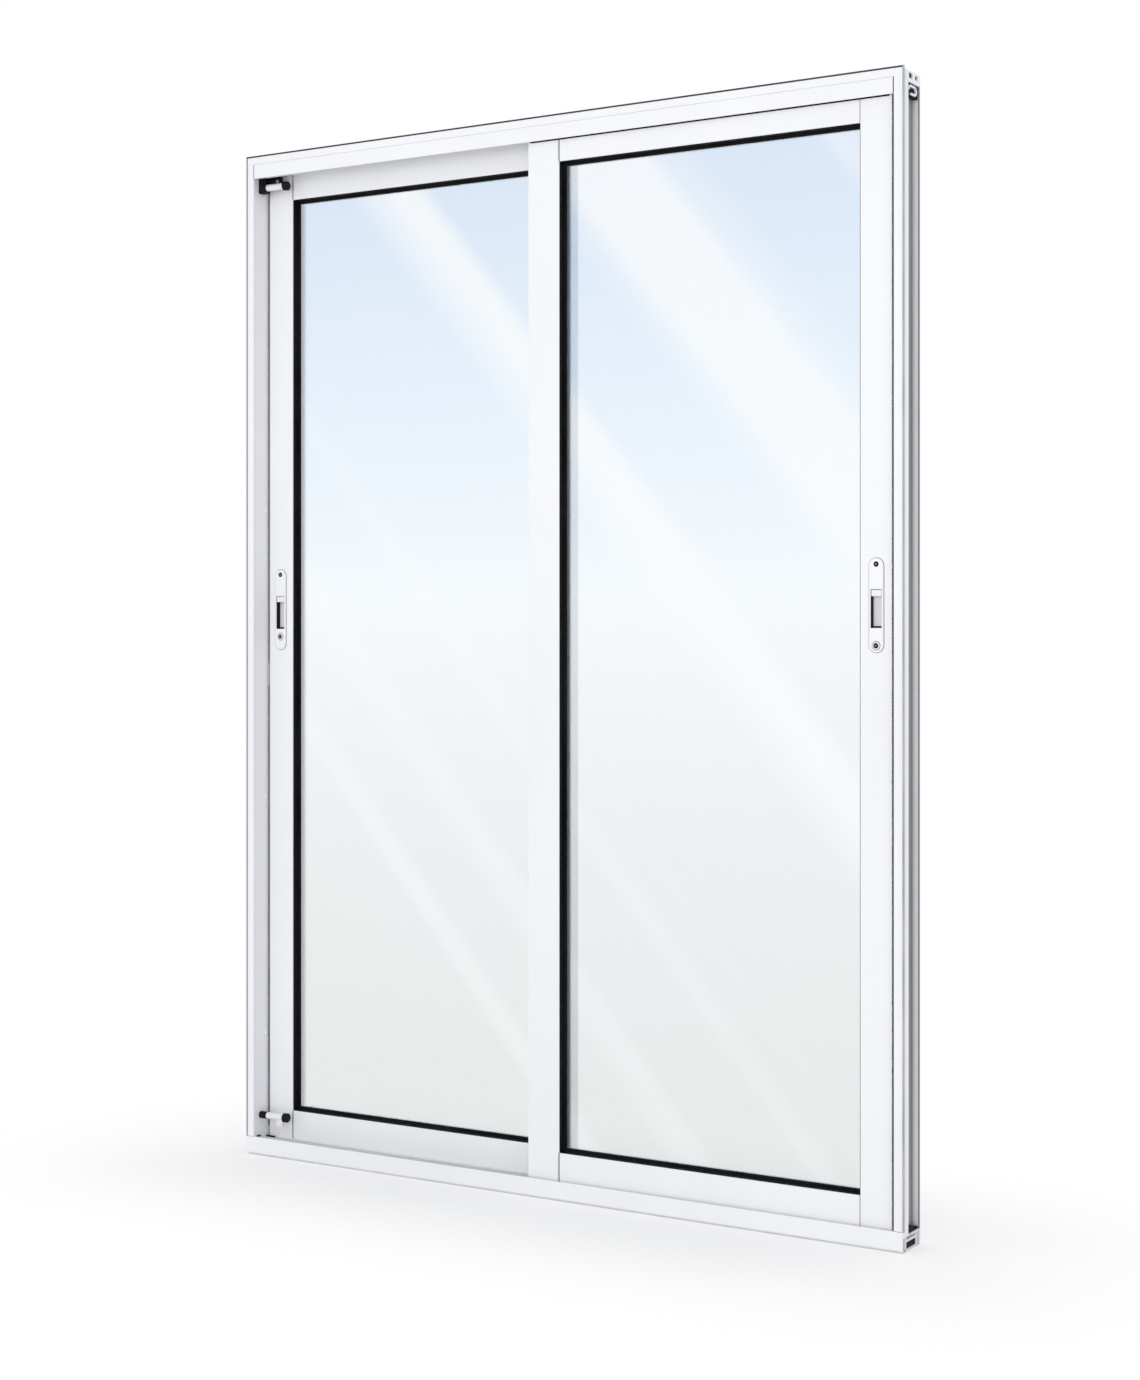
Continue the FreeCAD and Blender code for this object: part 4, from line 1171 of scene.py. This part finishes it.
@dataclass
class Studio:
    """A plain white studio: floor, world, two large soft lights and the camera of the photograph."""

    floor_size: float = 60.0
    floor_colour: Colour = (0.95, 0.95, 0.955)
    floor_shade: float = 0.985
    floor_clouds: Noise = Noise((2.0, 2.0, 2.0))
    door_half: Triple = (0.74, 0.041, 0.0)
    floor_white: float = 0.42
    floor_fade: Pair = (0.0, 0.6)
    fill_strength: float = 0.88
    light_size: float = 4.0
    light_aim: Triple = (0.0, 0.0, 0.9)
    front_light: tuple[Triple, float] = ((1.7, -6.0, 1.9), 86.0)
    rear_light: tuple[Triple, float] = ((2.2, 6.0, 1.9), 64.0)
    sweep_places: tuple[float, ...] = (0.10, 0.30, 0.48, 0.62, 0.82)
    sweep: tuple[Colour, ...] = (
        (0.50, 0.53, 0.51), (0.66, 0.68, 0.68), (0.86, 0.93, 0.99), (0.52, 0.73, 0.96), (0.18, 0.43, 0.82))
    sweep_rise: Pair = (-0.3, 0.367)
    sweep_least: float = 0.05
    streak_slope: float = 1.2
    streak_bands: float = 7.5
    streak_detail: float = 1.5
    streak_limits: Pair = (0.50, 0.61)
    streak_share: Pair = (0.0, 0.72)
    camera_place: Triple = (2.32798, -3.75168, 1.09248)
    camera_turn: float = 31.494
    lens: float = 59.2198
    sensor: float = 36.0
    shift: float = -0.04098
    view_end: float = 200.0

    def build(self) -> None:
        """Build the studio and set the scene's camera."""
        bpy.context.scene.view_settings.view_transform = "Standard"
        self.make_floor()
        self.make_world()
        self.make_light("front_light", *self.front_light)
        self.make_light("rear_light", *self.rear_light)
        self.make_camera()
        LOG.info("studio set up")

    def make_floor(self) -> None:
        """Lay the pale floor, which looks white away from the door and keeps the door's soft shadow."""
        mesh = bpy.data.meshes.new("studio_floor")
        half = self.floor_size / 2
        corners = [(-half, -half, 0.0), (half, -half, 0.0), (half, half, 0.0), (-half, half, 0.0)]
        mesh.from_pydata(corners, [], [(0, 1, 2, 3)])
        floor = stand("studio_floor", mesh)
        sheet = SurfaceSheet("studio_floor_paint")
        shade = tuple(value * self.floor_shade for value in self.floor_colour)
        colour = sheet.ramp(sheet.noise(self.floor_clouds), NOISE_RANGE, (shade, self.floor_colour))
        paint = sheet.add("ShaderNodeBsdfDiffuse", {"Color": colour})
        white = sheet.add("ShaderNodeEmission", {"Strength": 1.0})
        past = sheet.places
        for operation, other in (("ABSOLUTE", ZERO), ("SUBTRACT", self.door_half), ("MAXIMUM", ZERO)):
            past = sheet.add("ShaderNodeVectorMath", {0: past, 1: other}, operation=operation).outputs[0]
        reach = sheet.add("ShaderNodeVectorMath", {0: past}, operation="LENGTH").outputs["Value"]
        fade = sheet.remap(reach, self.floor_fade, (self.floor_white, 1.0), soft=True)
        mixed = sheet.blend(sheet.maths("MULTIPLY", sheet.seen(), fade), paint, white)
        sheet.tree.links.new(mixed.outputs[0], sheet.tree.nodes["Material Output"].inputs["Surface"])
        sheet.tree.nodes.remove(sheet.shader)
        mesh.materials.append(sheet.material)
        floor.visible_glossy = False

    def make_world(self) -> None:
        """Light the studio evenly; what shines in the glass is a pale blue sweep with soft slanting bands."""
        world = bpy.data.worlds.new("studio_world")
        bpy.context.scene.world = world
        world.use_nodes = True
        world.node_tree.nodes.clear()
        sheet = NodeSheet(world.node_tree)
        places = sheet.add("ShaderNodeTexCoord").outputs["Generated"]
        axes = sheet.add("ShaderNodeSeparateXYZ", {0: places}).outputs
        reach = sheet.maths("MAXIMUM", sheet.maths("ABSOLUTE", axes["Y"]), self.sweep_least)
        rise = sheet.maths("DIVIDE", axes["Z"], reach)
        sideways = sheet.maths("DIVIDE", axes["X"], reach)
        slant = sheet.maths("ADD", rise, sheet.maths("MULTIPLY", sideways, self.streak_slope))
        values = {"W": slant, "Scale": self.streak_bands, "Detail": self.streak_detail}
        bands = sheet.add("ShaderNodeTexNoise", values, noise_dimensions="1D").outputs["Fac"]
        sky = sheet.ramp(sheet.remap(rise, self.sweep_rise, (0.0, 1.0)), self.sweep_places, self.sweep)
        shine = sheet.mix(sheet.remap(bands, self.streak_limits, self.streak_share), sky, WHITE)
        fill, mirror, backdrop = (
            sheet.add("ShaderNodeBackground", {"Color": colour, "Strength": strength})
            for colour, strength in (((*WHITE, 1.0), self.fill_strength), (shine, 1.0), ((*WHITE, 1.0), 1.0)))
        glossy = sheet.add("ShaderNodeLightPath").outputs["Is Glossy Ray"]
        lit = sheet.blend(sheet.seen(), sheet.blend(glossy, fill, mirror), backdrop)
        sheet.add("ShaderNodeOutputWorld", {"Surface": lit.outputs[0]})

    def make_light(self, name: str, place: Triple, power: float) -> None:
        """Hang one large soft light that isn't mirrored in the glass.

        Args:
            name: The light's name.
            place: Where it hangs.
            power: Its power in watts.
        """
        light = bpy.data.lights.new(name, "AREA")
        light.energy = power
        light.size = self.light_size
        lamp = stand(name, light)
        lamp.location = place
        lamp.rotation_euler = (Vector(self.light_aim) - Vector(place)).to_track_quat("-Z", "Y").to_euler()
        lamp.visible_glossy = False
        lamp.visible_transmission = False

    def make_camera(self) -> None:
        """Set up the photograph's level camera."""
        data = bpy.data.cameras.new("photo_camera")
        data.lens = self.lens
        data.sensor_width = self.sensor
        data.sensor_fit = "AUTO"
        data.shift_y = self.shift
        data.clip_end = self.view_end
        camera = stand("photo_camera", data)
        camera.location = self.camera_place
        camera.rotation_euler = (math.radians(90.0), 0.0, math.radians(self.camera_turn))
        bpy.context.scene.camera = camera


def write_sizes() -> None:
    """Bring the view layer up to date."""
    bpy.context.view_layer.update()


def main() -> None:
    """Build the door's dress and the studio in order."""
    logging.basicConfig(level=logging.INFO, format="%(name)s: %(message)s")
    pile = PileKit(PILE)
    foot_pile = PileKit(PALE_PILE, pitch=1.2 * MM, rows=2, row_gap=1.2 * MM, backing_width=3.2 * MM,
                        backing_height=0.6 * MM, tuft_radius=0.95 * MM, lean=0.05)
    left = GlazedPanel(Body.LEFT_PANEL, -1, pile, foot_pile, BEAD)
    right = GlazedPanel(Body.RIGHT_PANEL, 1, pile, foot_pile, PALE_BEAD)
    for assembly in (OuterFrame(pile),
                     left, FlushLatch(left, (1216.0 * MM, 1086.0 * MM)),
                     right, FlushLatch(right, (1215.5 * MM, 1070.6 * MM)),
                     TravelStops()):
        assembly.dress()
        assembly.build()
    Studio().build()
    write_sizes()


if __name__ == "__main__":
    main()
